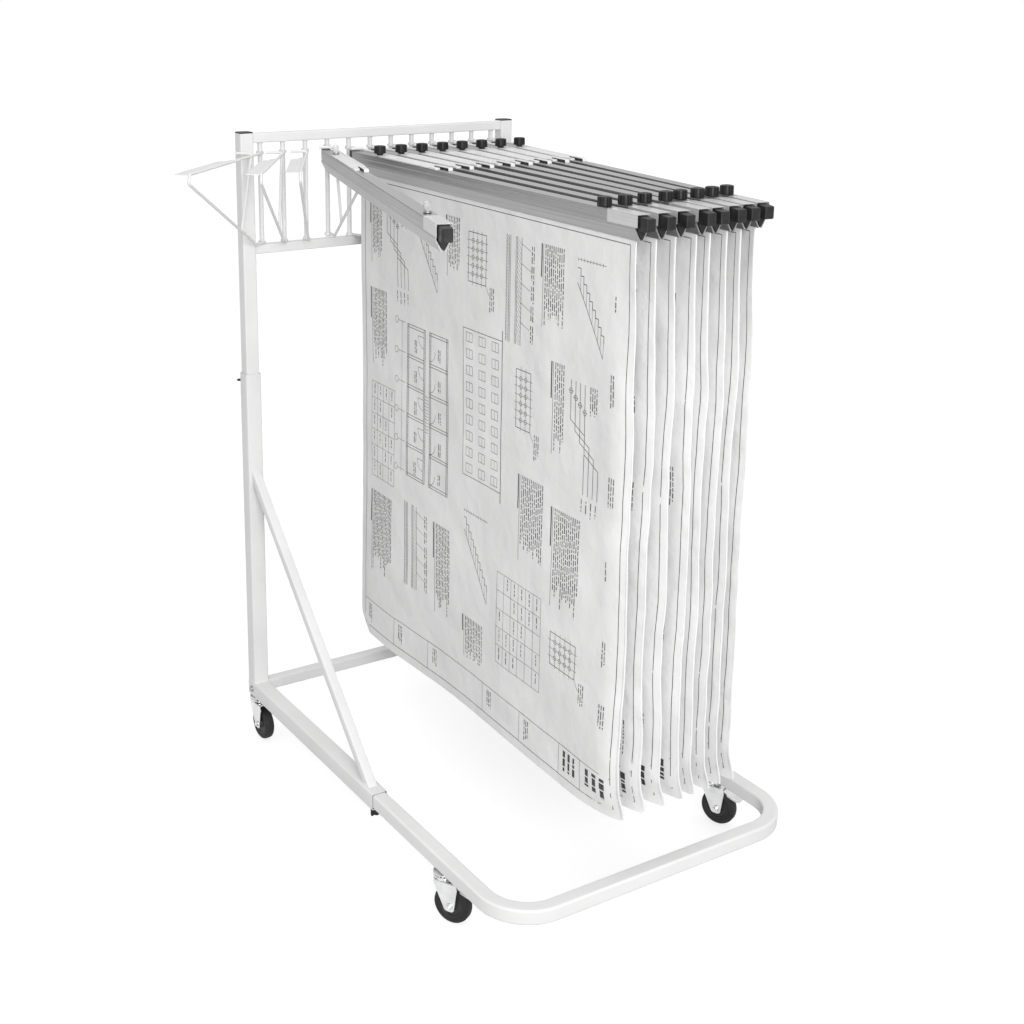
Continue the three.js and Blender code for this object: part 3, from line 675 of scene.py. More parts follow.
def welded_rail(form, end, z, size, corner):
    """Square rail across the rack with a bead of weld at each end."""
    form.tube([Vector((-end, 0, z)), Vector((end, 0, z))], size, Z, corner)
    for way in (-1, 1):
        weld_ring(form, Vector((way * (end - WELD_STEP), 0, z)), -way * X, Z, size)


def white_piece(name, form, body, node, bevel=0.0):
    make_piece(name, form, [WHITE], body, FRAME_PLACE, [node], bevel)


def base_tube(side, x):
    """Tube with a plug just inside its rear end."""
    rear = OUTER_TUBE / 2
    form = Form()
    form.tube([Vector((x, BASE_FRONT, BASE_CENTRE)), Vector((x, rear, BASE_CENTRE))], OUTER_TUBE, Z)
    plug = square(OUTER_TUBE - 2 * TUBE_WALL, 0.002)
    form.loft([ring(plug, Vector((x, y, BASE_CENTRE)), Y, Z) for y in (rear - 0.0075, rear - 0.001)])
    white_piece(f"base_tube_shell_{side}", form, "base", f"base_tube_{side}", 0.0004)


def lower_post(side, x):
    form = Form()
    form.tube([Vector((x, 0, BASE_TOP)), Vector((x, 0, LOWER_POST_TOP))], OUTER_TUBE, Y)
    weld_ring(form, Vector((x, 0, BASE_TOP + WELD_STEP)), Z, Y, OUTER_TUBE)
    white_piece(f"lower_post_shell_{side}", form, "base", f"lower_post_{side}", 0.0004)


def brace(side, x):
    top = Vector((x, -OUTER_TUBE / 2, BRACE_TOP))
    foot = Vector((x, BRACE_FOOT, BASE_TOP))
    along = (foot - top).normalized()
    beneath = X.cross(along).normalized()
    if beneath.z > 0:
        beneath = -beneath
    middle = beneath * BRACE_SIZE / 2
    form = Form()
    form.tube([top + middle, foot + middle], BRACE_SIZE, X, 0.0022, ends=[(top, Y), (foot, Z)])
    white_piece(f"brace_shell_{side}", form, "base", f"brace_{side}", 0.0003)


def upper_post(side, x):
    form = Form()
    form.tube([Vector((x, 0, UPPER_POST_BOTTOM)), Vector((x, 0, UPPER_POST_TOP))], INNER_TUBE, Y)
    white_piece(f"upper_post_shell_{side}", form, "head", f"upper_post_{side}")


def post_cap(side, x):
    """Plug with a low crowned lid."""
    plug = 0.0264
    levels = [
        (plug, -0.012), (plug, 0.0), (INNER_TUBE, 0.0), (INNER_TUBE, 0.0014),
        (INNER_TUBE - 0.0014, 0.0026), (INNER_TUBE - 0.008, CAP_THICKNESS),
    ]
    form = Form()
    form.loft([ring(square(size, 0.0035), Vector((x, 0, UPPER_POST_TOP + z)), Z, Y) for size, z in levels])
    make_piece(f"post_plug_{side}", form, [BLACK], "head", stands_for=[f"post_cap_{side}"])


def bushing(name, at, along, reference, body):
    """Thin black liner in the mouth of an outer tube."""
    outer = OUTER_TUBE - 2 * TUBE_WALL - 0.0002
    inner = INNER_TUBE + 0.0004
    mouth = -LINER_BELOW_MOUTH
    rings = []
    for size, step in ((outer, -LINER_LENGTH), (outer, mouth), (inner, mouth), (inner, -LINER_LENGTH)):
        rings.append(ring(square(size, 0.0028), at + along * step, along, reference))
    form = Form()
    form.loft(rings, loop=True)
    make_piece(name, form, [BLACK], body)


def wing_screw(hub_length, span):
    """Screw pointing up its own axis, its tip at the origin: shank, waisted hub and two wings."""
    stem = (OUTER_TUBE - INNER_TUBE) / 2 - SCREW_TIP_GAP + 0.0008
    end = stem + hub_length
    shank = [(0.0026, 0), (0.003, 0.0006), (0.003, stem + 0.001)]
    hub = [
        (0.0068, stem), (0.008, stem + 0.0012), (0.0078, end - 0.003), (0.0066, end - 0.0004), (0.003, end),
    ]
    form = Form()
    form.turned(shank, 20, finish=1)
    form.turned(hub, 28)
    foot = stem + 0.0026
    top = end + 0.0020
    wing = [
        (0.0, 0.0030, 0.78), (0.35, 0.0026, 0.82), (0.7, 0.0022, 1.0),
        (0.92, 0.0020, 0.96), (1.0, 0.0008, 0.70),
    ]
    stations = [(-share, thick, tall) for share, thick, tall in wing[::-1]] + wing[1:]
    rings = []
    for share, thick, tall in stations:
        section = rectangle(-thick, foot, thick, foot + tall * (top - foot), 0.0016, 3)
        rings.append([Vector((share * span / 2, p.x, p.y)) for p in section])
    form.loft(rings)
    return form


def screws(side, x):
    """Wing screws: one at the back of the lower post, one under the base tube's front end."""
    reach = INNER_TUBE / 2 + SCREW_TIP_GAP
    height_at = moved(x, reach, LOWER_POST_TOP - HEIGHT_SCREW_FROM_TUBE_END) @ spun(-90, "X")
    depth_at = moved(x, BASE_FRONT + DEPTH_SCREW_FROM_TUBE_END, BASE_CENTRE - reach) @ spun(180, "X")
    for kind, hub_length, span, place in (
        ("height", HEIGHT_SCREW_HUB_LENGTH, HEIGHT_SCREW_SPAN, height_at),
        ("depth", DEPTH_SCREW_HUB_LENGTH, DEPTH_SCREW_SPAN, depth_at),
    ):
        make_piece(f"{kind}_wing_{side}", wing_screw(hub_length, span), [BLACK, ZINC],
                   f"{kind}_screw_{side}", FRAME_PLACE @ place, [f"{kind}_screw_{side}"])


def foot_bolt(side, x):
    """Domed bolt head with its washer on the outer face of the base tube, at the post."""
    outward = -1 if side == "left" else 1
    dome = [
        (0.0078, 0), (0.0078, 0.0010), (0.0062, 0.0012), (0.0058, 0.0026), (0.0036, 0.0040), (0.001, 0.0044),
    ]
    form = Form()
    form.turned(dome, 24, moved(x + outward * OUTER_TUBE / 2, 0, BASE_CENTRE) @ spun(outward * 90, "Y"))
    make_piece(f"foot_bolt_{side}", form, [DULL_ZINC], "base")


def cross_rail():
    form = Form()
    welded_rail(form, POST_X - OUTER_TUBE / 2, BASE_TOP - CROSS_RAIL_SIZE / 2, CROSS_RAIL_SIZE, 0.0026)
    white_piece("rear_rail_shell", form, "base", "rear_cross_rail")


def front_base():
    corners = [
        (-POST_X, FRONT_TUBE_REAR), (-POST_X, FRONT_LINE), (POST_X, FRONT_LINE), (POST_X, FRONT_TUBE_REAR),
    ]
    path = [Vector((p.x, p.y, BASE_CENTRE)) for p in rounded(corners, FRONT_BEND_RADIUS, 18, closed=False)]
    form = Form()
    form.tube(path, INNER_TUBE, Z, 0.0045)
    white_piece("front_base_bend", form, "front_base", "front_base_tube")


def spindle_x(number):
    return (number - 1 - (SPINDLE_COUNT - 1) / 2) * SPINDLE_PITCH


def head_rail(form, underside):
    welded_rail(form, POST_X - INNER_TUBE / 2, underside + HEAD_RAIL_SIZE / 2, HEAD_RAIL_SIZE, 0.0024)


def spindle():
    """Upright rod that widens into a weld at both ends."""
    r = SPINDLE_RADIUS
    low = LOWER_RAIL_TOP - 0.0005
    high = TOP_RAIL_UNDERSIDE
    form = Form()
    form.turned([
        (r + 0.0018, low), (r + 0.0010, low + 0.0012), (r, low + 0.0026),
        (r, high - 0.003), (r + 0.0010, high - 0.0012), (r + 0.0018, high + 0.0004),
    ], 24)
    return form


def head():
    top = Form()
    head_rail(top, TOP_RAIL_UNDERSIDE)
    white_piece("top_rail_shell", top, "head", "top_rail")
    grid = Form()
    head_rail(grid, LOWER_RAIL_TOP - HEAD_RAIL_SIZE)
    grid.take(repeated(IN_ROW, spindle(), WHITE, Count=SPINDLE_COUNT, Start=(spindle_x(1), 0, 0),
                       Step=(SPINDLE_PITCH, 0, 0)))
    white_piece("spindle_row", grid, "head", "spindle_grid")


for side_name, side_x in SIDES.items():
    base_tube(side_name, side_x)
    lower_post(side_name, side_x)
    brace(side_name, side_x)
    upper_post(side_name, side_x)
    post_cap(side_name, side_x)
    bushing(f"post_liner_{side_name}", Vector((side_x, 0, LOWER_POST_TOP)), Z, Y, "base")
    bushing(f"base_liner_{side_name}", Vector((side_x, BASE_FRONT, BASE_CENTRE)), -Y, Z, "base")
    screws(side_name, side_x)
    foot_bolt(side_name, side_x)
cross_rail()
front_base()
head()


# Casters: the swivel axis is upright through the origin and the wheel trails to -Y

AXLE_AT = moved(0, -CASTER_TRAIL, WHEEL_RADIUS) @ spun(90, "Y")


def ball_ring():
    """Bearing balls that show between the two halves of the raceway."""
    ball = Form()
    arc = [math.pi * k / 6 - math.pi / 2 for k in range(1, 6)]
    ball.turned([(BALL_RADIUS * math.cos(a), BALL_RADIUS * math.sin(a)) for a in arc], 10)
    return repeated(IN_CIRCLE, ball, ZINC, Count=BALL_COUNT, Radius=BALL_CIRCLE)


def leg_outline():
    foot_y = -CASTER_TRAIL
    foot_z = WHEEL_RADIUS
    corners = [
        (FORK_FRONT, FORK_HEAD_TOP), (-FORK_BACK, FORK_HEAD_TOP),
        (-FORK_BACK - FORK_SPLAY, FORK_HEAD_TOP - 0.012),
        (foot_y - 0.0095, foot_z - 0.010), (foot_y + 0.0095, foot_z - 0.010),
        (FORK_FRONT - FORK_SPLAY, FORK_HEAD_TOP - 0.012),
    ]
    return rounded(corners, 0.0075, 5)


def caster_fork(top):
    """Two legs under a bridge, the raceway up to the tube's underside, the axle and its nuts."""
    form = Form()
    upright = Matrix(((0, 0, 1, 0), (1, 0, 0, 0), (0, 1, 0, 0), (0, 0, 0, 1)))
    form.slab(leg_outline(), LEG_INNER, LEG_OUTER, upright)
    form.slab(leg_outline(), -LEG_OUTER, -LEG_INNER, upright)
    bridge = rectangle(-LEG_OUTER, -FORK_BACK, LEG_OUTER, FORK_FRONT, 0.005, 4)
    form.slab(bridge, FORK_HEAD_TOP - 0.003, FORK_HEAD_TOP)
    lower_race = [
        (0.0165, FORK_HEAD_TOP - 0.001), (0.0165, top - 0.0115), (0.0205, top - 0.0105),
        (0.0212, top - 0.0088), (0.0196, top - 0.0074), (0.0150, top - 0.0074),
    ]
    upper_race = [
        (0.0150, top - 0.0050), (0.0200, top - 0.0050), (0.0214, top - 0.0038), (0.0206, top - 0.0018),
        (0.0130, top - 0.0010), (0.0110, top),
    ]
    form.turned(lower_race, 40)
    form.turned(upper_race, 40)
    form.turned([(0.0152, top - 0.0078), (0.0152, top - 0.0046)], 32, finish=1)
    form.take(ball_ring(), moved(0, 0, top - 0.0062))
    for way, flip in ((-1, 180), (1, 0)):
        outer = AXLE_AT @ moved(0, 0, way * LEG_OUTER) @ spun(flip, "X")
        washer = [(0.0078, 0), (0.0078, 0.0010), (0.0074, 0.0013)]
        nut = [(0.0060, 0.0010), (0.0060, 0.0042), (0.0050, 0.0050)]
        tip = [(0.0034, 0.0046), (0.0030, 0.0062), (0.0012, 0.0066)]
        form.turned(washer, 28, outer)
        form.turned(nut, 6, outer)
        form.turned(tip, 20, outer)
    form.turned([(AXLE_RADIUS, -LEG_INNER), (AXLE_RADIUS, LEG_INNER)], 24, AXLE_AT)
    return form


def both_ways(profile):
    """Profile given from its middle to one end, carried on as its mirror image to the other end."""
    return [(radius, -height) for radius, height in profile] + profile[::-1]


def caster_wheel():
    half = WHEEL_HALF_WIDTH
    tread = WHEEL_RADIUS
    tyre = both_ways([
        (0.0235, half - 0.0012), (0.0300, half), (tread - 0.0048, half - 0.0004),
        (tread - 0.0012, half - 0.0030), (tread, half - 0.0064),
    ])
    hub = both_ways([
        (0.0056, half + 0.0012), (0.0098, half + 0.0012), (0.0106, half - 0.0008), (0.0118, half - 0.0030),
        (0.0205, half - 0.0032), (0.0222, half - 0.0010), (0.0240, half - 0.0010),
    ])
    form = Form()
    form.turned(tyre, 72, AXLE_AT, 0, loop=True)
    form.turned(hub, 56, AXLE_AT, 1, loop=True)
    return form


def brake_pedal():
    """Bent plate on a pin: a lever between the fork's legs and a wider pad with grip ribs."""
    reach = LEG_INNER - 0.0006
    thick = PEDAL_HALF_THICKNESS
    form = Form()
    form.turned([(PEDAL_PIN_RADIUS, -reach), (PEDAL_PIN_RADIUS, reach)], 20, spun(90, "Y"))
    stations = [
        (0.002, 0.0, reach - 0.001), (-0.006, 0.0006, reach - 0.001), (-0.013, 0.0004, reach - 0.001),
        (-0.016, 0.0, LEG_OUTER - 0.0006), (-0.020, -0.0002, LEG_OUTER), (-0.038, -0.0002, LEG_OUTER),
        (-0.044, 0.0010, LEG_OUTER - 0.001), (-0.046, 0.0022, LEG_OUTER - 0.004),
    ]
    rings = []
    for y, z, half in stations:
        section = rectangle(-half, -thick, half, thick, 0.0012, 3)
        rings.append([Vector((p.x, y, z + p.y)) for p in section])
    form.loft(rings)
    rib = Form()
    rib.slab(rectangle(-0.011, -0.0009, 0.011, 0.0009, 0.0008, 3), 0.0008, 0.0018)
    form.take(repeated(IN_ROW, rib, ZINC, Count=PEDAL_RIB_COUNT, Start=(0, -0.022, 0),
                       Step=(0, -PEDAL_RIB_PITCH, 0)))
    return form


def casters():
    pin_at = moved(0, -CASTER_TRAIL - PEDAL_PIN_BEHIND_AXLE, FORK_HEAD_TOP - PEDAL_PIN_BELOW_HEAD)
    for corner, swivel in SWIVELS.items():
        ahead = corner.startswith("front")
        x = SIDES[corner.split("_")[1]]
        y = FRONT_CASTER_Y if ahead else REAR_CASTER_Y
        underside = BASE_CENTRE - INNER_TUBE / 2 if ahead else BASE_UNDERSIDE
        place = FRAME_PLACE @ moved(x, y, 0) @ spun(swivel, "Z")
        make_piece(f"fork_{corner}", caster_fork(underside - GAP), [ZINC, BLACK], f"caster_{corner}", place,
                   [f"caster_fork_{corner}"], bevel=0.0006)
        make_piece(f"tyre_and_hub_{corner}", caster_wheel(), [RUBBER, HUB], f"wheel_{corner}", place,
                   [f"caster_wheel_{corner}"])
        if ahead:
            make_piece(f"pedal_plate_{corner}", brake_pedal(), [ZINC], f"pedal_{corner}",
                       place @ pin_at @ spun(PEDAL_TILT, "X"), [f"brake_pedal_{corner}"])


casters()


# Hangers: the spindle is the upright axis through the origin and the arm points to -Y

def hanger_place(number):
    lift = EMPTY_HANGER_LIFT if number == EMPTY_CLAMP else 0.0
    return FRAME_PLACE @ moved(spindle_x(number), 0, lift) @ spun(-HANGER_LEFT_TURN[number - 1], "Z")


def bent(before, corner, after, reach):
    """Points of a smooth bend from one straight stretch of wire into the next."""
    start = corner + (before - corner).normalized() * reach
    end = corner + (after - corner).normalized() * reach
    steps = [k / 6 for k in range(7)]
    return [start * (1 - t) ** 2 + corner * (2 * t * (1 - t)) + end * t ** 2 for t in steps]


def wire_eye(form, z):
    """Flat coil round the spindle."""
    bore = SPINDLE_RADIUS + 0.0006
    wall = 0.0026
    r = WIRE_RADIUS
    section = rectangle(0, -r, wall, r, 0.0012, 3)
    form.turned([(bore + p.x, z + p.y) for p in section], 32, loop=True)


def plate_outline():
    """Flat plate with a slanted rear corner and a slot for the clamp's rear stud."""
    right = WIRE_SIDE - 0.001
    slope = PLATE_SLANT / (PLATE_SLANT_FROM - PLATE_LEFT)
    slot_left = CLAMP_CENTRE - STUD_SLOT / 2
    slot_right = CLAMP_CENTRE + STUD_SLOT / 2
    slot_end = -KNOBS_AT["rear"] - STUD_SLOT / 2

    def slanted(x):
        return -PLATE_REAR_AT - (PLATE_SLANT_FROM - x) * slope

    return rounded([
        (right, -PLATE_REAR_AT), (PLATE_SLANT_FROM, -PLATE_REAR_AT), (slot_right, slanted(slot_right)),
        (slot_right, slot_end), (slot_left, slot_end), (slot_left, slanted(slot_left)),
        (PLATE_LEFT, slanted(PLATE_LEFT)), (PLATE_LEFT, -PLATE_FRONT_AT), (right, -PLATE_FRONT_AT),
    ], 0.0014, 3)


def hanger_form():
    """Bent wire loop, a cross bar that turns down into a strut, two eyes and the plate."""
    form = Form()
    section = circle(WIRE_RADIUS, 14)
    start = SPINDLE_RADIUS + 0.0012
    foot_z = LOWER_RAIL_TOP + GAP + WIRE_RADIUS
    drop_z = ARM_Z - HANGER_DROP
    low_z = foot_z + 0.004
    loop = rounded([
        (start, ARM_Z), (HANGER_REACH - 0.005, ARM_Z), (HANGER_REACH, drop_z),
        (DIAGONAL_FOOT_AT, low_z), (start, foot_z),
    ], 0.006, 6, closed=False)
    form.sweep(section, [Vector((WIRE_SIDE, -p.x, p.y)) for p in loop], X)
    share = (STRUT_FOOT_AT - DIAGONAL_FOOT_AT) / (HANGER_REACH - DIAGONAL_FOOT_AT)
    strut_foot = Vector((WIRE_SIDE, -STRUT_FOOT_AT, low_z + share * (drop_z - low_z)))
    corner = Vector((WIRE_SIDE, -CROSS_BAR_AT, ARM_Z + CROSS_BAR_ABOVE_ARM))
    bar_end = Vector((CROSS_BAR_LEFT, corner.y, corner.z))
    form.sweep(section, [bar_end] + bent(bar_end, corner, strut_foot, 0.007) + [strut_foot], Y)
    wire_eye(form, ARM_Z)
    wire_eye(form, foot_z)
    form.slab(plate_outline(), PLATE_FOOT, PLATE_FOOT + PLATE_THICKNESS)
    return form


def hangers():
    for number in range(1, SPINDLE_COUNT + 1):
        name = f"hanger_{number:02d}"
        make_piece(f"wire_{name}", hanger_form(), [WHITE], name, hanger_place(number), [name],
                   bevel=0.0004)


hangers()


# Clamps, in the frame of their hanger

def jaw_outline(top):
    """Right-hand wall of the channel, from under the top to the lip and back up inside."""
    return [
        (CLAMP_HALF_BOX, -top), (CLAMP_HALF_BOX, -0.0092), (CLAMP_HALF_BOX - 0.0006, -0.0098),
        (CLAMP_HALF_BOX - 0.0006, -0.0106), (CLAMP_HALF_BOX, -0.0112),
        (CLAMP_HALF_BOX, -CLAMP_BOX_HEIGHT + 0.001), (CLAMP_HALF_WIDTH, -CLAMP_BOX_HEIGHT),
        (CLAMP_HALF_WIDTH, -CLAMP_BOX_HEIGHT - 0.002), (CLAMP_HALF_SLOT + CLAMP_WALL, -CLAMP_HEIGHT),
        (CLAMP_HALF_SLOT, -CLAMP_HEIGHT), (CLAMP_HALF_SLOT, -CLAMP_HEIGHT + 0.002),
        (CLAMP_HALF_WIDTH - CLAMP_WALL, -CLAMP_BOX_HEIGHT - 0.0025),
        (CLAMP_HALF_BOX - CLAMP_WALL, -CLAMP_BOX_HEIGHT + 0.001),
    ]


def mirrored(points):
    return [(-x, z) for x, z in points][::-1]


def channel_outline():
    right = jaw_outline(0) + [(CLAMP_HALF_BOX - CLAMP_WALL, -CLAMP_WALL)]
    return right + mirrored(right)


def fixed_jaw_outline():
    """Top plate with the right-hand wall."""
    plate = [(CLAMP_HALF_BOX - CLAMP_WALL, -CLAMP_WALL), (-CLAMP_HALF_BOX, -CLAMP_WALL), (-CLAMP_HALF_BOX, 0)]
    return jaw_outline(0) + plate


def moving_jaw_outline():
    top = CLAMP_WALL + GAP
    return mirrored(jaw_outline(top) + [(CLAMP_HALF_BOX - CLAMP_WALL, -top)])


def clamp_ring(section, reach):
    """Flat section stood across the clamp at a distance from the spindle."""
    return [Vector((CLAMP_CENTRE + p.x, -reach, CLAMP_TOP + p.y)) for p in section]


def clamp_bar(form, outline, rear, front, finish=0):
    """Outline drawn out along the arm, with a flat map along and round it for the drawing marks."""
    section = rounded(outline, 0.0005, 2)
    girth = [0.0]
    for k in range(len(section)):
        girth.append(girth[-1] + (section[(k + 1) % len(section)] - section[k]).length)
    reaches = [rear, front]
    rings = [clamp_ring(section, reach) for reach in reaches]
    form.loft(rings, finish, spot=lambda i, k: (reaches[i], girth[k]))


def sleeve(form, finish):
    """Pale cover over the front end of the channel's box, a little longer than the channel."""
    outer = CLAMP_HALF_BOX + 0.0005
    inner = CLAMP_HALF_BOX - 0.0001
    low = -CLAMP_BOX_HEIGHT + 0.0012
    half = [(outer, 0.0005), (outer, low), (inner, low), (inner, -0.0001)]
    clamp_bar(form, half + mirrored(half), CLAMP_FRONT - SLEEVE_LENGTH, CLAMP_FRONT - 0.0002, finish)


def end_cap(form, end, finish):
    """Moulded block over a pointed fin that closes the channel's end."""
    at, outward, fin_at = {
        "rear": (CLAMP_REAR, -1, 0.0),
        "front": (CLAMP_FRONT, 1, -SLEEVE_PAST_CHANNEL),
    }[end]
    fin = rounded([
        (-0.0086, -0.016), (0.0086, -0.016), (0.0094, -0.0262), (0.0010, -0.0412),
        (-0.0010, -0.0412), (-0.0094, -0.0262),
    ], 0.0012, 2)
    form.loft([clamp_ring(fin, at + outward * step) for step in (fin_at - 0.001, fin_at + 0.002)], finish)
    below = END_CAPS_BELOW_TOP[end]
    depth = END_CAP_DEPTH
    start = 0.0005 if end == "rear" else -0.004
    high = min(below, 0.0024)
    stations = [
        (start, 0.0, high), (0.001, 0.0, high), (depth - 0.0022, 0.0, below),
        (depth - 0.0006, 0.0006, below), (depth, 0.0018, below), (depth - 0.0008, 0.0030, below),
    ]
    rings = []
    for step, shrink, top in stations:
        wide = END_CAP_HALF_WIDTH - shrink
        block = rectangle(-wide, -below - END_CAP_HEIGHT + shrink, wide, -top - shrink, 0.0018, 3)
        rings.append(clamp_ring(block, at + outward * step))
    form.loft(rings, finish)


def catch(form, white, black):
    """Clip in front of the hanger's plate: a white strip, and a white cover over a black block whose left
    side is bare.
    """
    foot = CLAMP_TOP + 0.0001
    lid = CLAMP_TOP + CATCH_HEIGHT - CATCH_COVER_THICKNESS
    strip = rectangle(PLATE_LEFT, -CATCH_STRIP_FRONT, CATCH_LEFT - 0.002, -CATCH_REAR, 0.003, 4)
    form.slab(strip, foot, foot + CATCH_STRIP_THICKNESS, finish=white)
    # Black block under the cover; its bare left side shows dark beside the plate's front end.
    form.box((CATCH_LEFT, -CATCH_FRONT, foot), (CATCH_RIGHT - 0.001, -CATCH_REAR, lid), black)
    cover = rounded([(CATCH_REAR, lid), (CATCH_FRONT, lid), (CATCH_FRONT, foot)], 0.003, 5, closed=False)
    half = (CATCH_RIGHT - CATCH_LEFT) / 2
    section = rectangle(-CATCH_COVER_THICKNESS, -half, 0.0, half, 0.0006, 2)
    middle = CATCH_LEFT + half
    form.sweep(section, [Vector((middle, -p.x, p.y)) for p in cover], X, white)


def knob_mesh():
    """Nearly straight knob with broad ribs round its side and a flat, slightly dished top."""
    body = Form()
    r = KNOB_RADIUS - 0.0016
    h = KNOB_HEIGHT
    body.turned([
        (r - 0.0004, 0.0), (r, 0.0008), (r - 0.0003, h - 0.0012), (r - 0.0012, h - 0.0002), (r - 0.0024, h),
        (r - 0.0040, h - 0.0007), (0.0010, h - 0.0008),
    ], 40)
    rib = Form()
    wide = 0.0019
    section = rectangle(-0.0012, -wide, 0.0016, wide, 0.0008, 2)
    rings = []
    for z, lean in ((0.0002, 0.0004), (0.0012, 0.0), (h - 0.0020, 0.0003), (h - 0.0006, 0.0010)):
        rings.append([Vector((p.x - lean, p.y, z)) for p in section])
    rib.loft(rings)
    body.take(repeated(IN_CIRCLE, rib, BLACK, Count=KNOB_RIBS, Radius=r))
    return body.mesh("knob", [BLACK])


KNOB = knob_mesh()
CLAMP_FINISHES = [ALUMINIUM, SLEEVE, BLACK, WHITE]
PALE_PART = CLAMP_FINISHES.index(SLEEVE)
BLACK_PART = CLAMP_FINISHES.index(BLACK)
WHITE_PART = CLAMP_FINISHES.index(WHITE)


def screw_place(end):
    return moved(CLAMP_CENTRE, -KNOBS_AT[end], CLAMP_TOP + SCREW_FEET[end])


def dressed_bar(outline):
    """Bar with the sleeve, end caps and clip that all clamps have."""
    form = Form()
    clamp_bar(form, outline, CLAMP_REAR, CLAMP_FRONT - SLEEVE_PAST_CHANNEL)
    sleeve(form, PALE_PART)
    end_cap(form, "rear", BLACK_PART)
    end_cap(form, "front", BLACK_PART)
    catch(form, WHITE_PART, BLACK_PART)
    return form


def straight_clamp():
    """Loaded clamp; its rear knob stands on a collar over the hanger's plate."""
    form = dressed_bar(channel_outline())
    form.take(KNOB, screw_place("front"), BLACK_PART)
    rear = screw_place("rear")
    form.turned([
        (STUD_RADIUS, -SCREW_FEET["rear"] - 0.001), (STUD_RADIUS, 0.0), (COLLAR_RADIUS - 0.0005, 0.0),
        (COLLAR_RADIUS, 0.0006), (COLLAR_RADIUS, COLLAR_HEIGHT), (STUD_RADIUS, COLLAR_HEIGHT + 0.0002),
    ], 28, rear, BLACK_PART)
    form.take(KNOB, rear @ moved(0, 0, COLLAR_HEIGHT), BLACK_PART)
    return form


def thumb_screw(end):
    """Stud, collar and an upright tab with round shoulders."""
    form = Form()
    place = screw_place(end)
    top = COLLAR_HEIGHT
    form.turned([(STUD_RADIUS, -0.012), (STUD_RADIUS, 0.001)], 20, place)
    form.turned([
        (COLLAR_RADIUS - 0.0008, 0.0), (COLLAR_RADIUS, 0.0007), (COLLAR_RADIUS, top - 0.0007),
        (COLLAR_RADIUS - 0.0008, top), (STUD_RADIUS, top),
    ], 36, place)
    half = THUMB_TAB_WIDTH / 2
    neck = 0.72 * half
    tab = rounded([
        (-neck, top - 0.0005), (neck, top - 0.0005), (half, top + 0.005),
        (half, THUMB_SCREW_HEIGHT), (-half, THUMB_SCREW_HEIGHT), (-half, top + 0.005),
    ], 0.0035, 6)
    stood_up = Matrix(((1, 0, 0, 0), (0, 0, -1, 0), (0, 1, 0, 0), (0, 0, 0, 1)))
    form.slab(tab, -THUMB_TAB_THICKNESS / 2, THUMB_TAB_THICKNESS / 2, place @ stood_up)
    return form


def clamps():
    for number in range(FIRST_LOADED, SPINDLE_COUNT + 1):
        label = f"{number:02d}"
        make_piece(f"clamp_bar_{label}", straight_clamp(), CLAMP_FINISHES, f"hanger_{label}",
                   hanger_place(number), [f"clamp_{label}"])
    place = hanger_place(EMPTY_CLAMP)
    node = f"clamp_{EMPTY_CLAMP:02d}"
    make_piece("empty_clamp_fixed", dressed_bar(fixed_jaw_outline()), CLAMP_FINISHES,
               f"hanger_{EMPTY_CLAMP:02d}", place, [f"{node}_fixed_jaw"])
    moving = Form()
    clamp_bar(moving, moving_jaw_outline(), CLAMP_REAR + 0.003, CLAMP_FRONT - SLEEVE_PAST_CHANNEL)
    make_piece("empty_clamp_moving", moving, CLAMP_FINISHES, "clamp_moving_jaw", place,
               [f"{node}_moving_jaw"])
    for end in KNOBS_AT:
        make_piece(f"empty_clamp_screw_{end}", thumb_screw(end), [DULL_ZINC], f"clamp_screw_{end}", place,
                   [f"{node}_screw_{end}"], bevel=0.0004)


clamps()


# Plan sets, in the frame of their hanger: across runs from the rear edge to the
# front edge and down from the top edge, which is inside the clamp, to the hem

HOOK = 0.011
HOOK_REACH = 0.110
HEM_REACH = 0.085
EDGE_TURN = 0.010
EDGE_TURN_REACH = 0.048
CURL_REACH = 0.050
CURL_RADIUS = 0.036
CORNER_SWING = 0.009
CORNER_ALONG = 0.72
CORNER_BELOW = 0.70
HELD_BELOW_MOUTH = 0.020
PHASE_STEP = 0.9
FREE_FROM = 0.050
FREE_OVER = 0.250
LOOSE_REACH = 0.160
RIM_STEP = 0.011
FACE_LIFT = -PLAN_THICKNESS / 2 - LEAF_GAP

# Broad waves: height at the hem, waves over the width and the way each set shifts them
SWAYS = [(0.005, 1.3, 1), (0.002, 2.2, -1)]

# Uneven paper: height, scale across, scale down and scale from set to set
SHEET_RIPPLES = [(0.0030, 4.2, 3.1, 7.7), (0.0012, 13.0, 11.0, 3.3)]
FRONT_RIPPLES = [(0.0060, 3.0, 5.2, 5.1), (0.0024, 9.0, 17.0, 2.3)]


def ramp(value):
    held = min(1.0, max(0.0, value))
    return held * held * (3 - 2 * held)


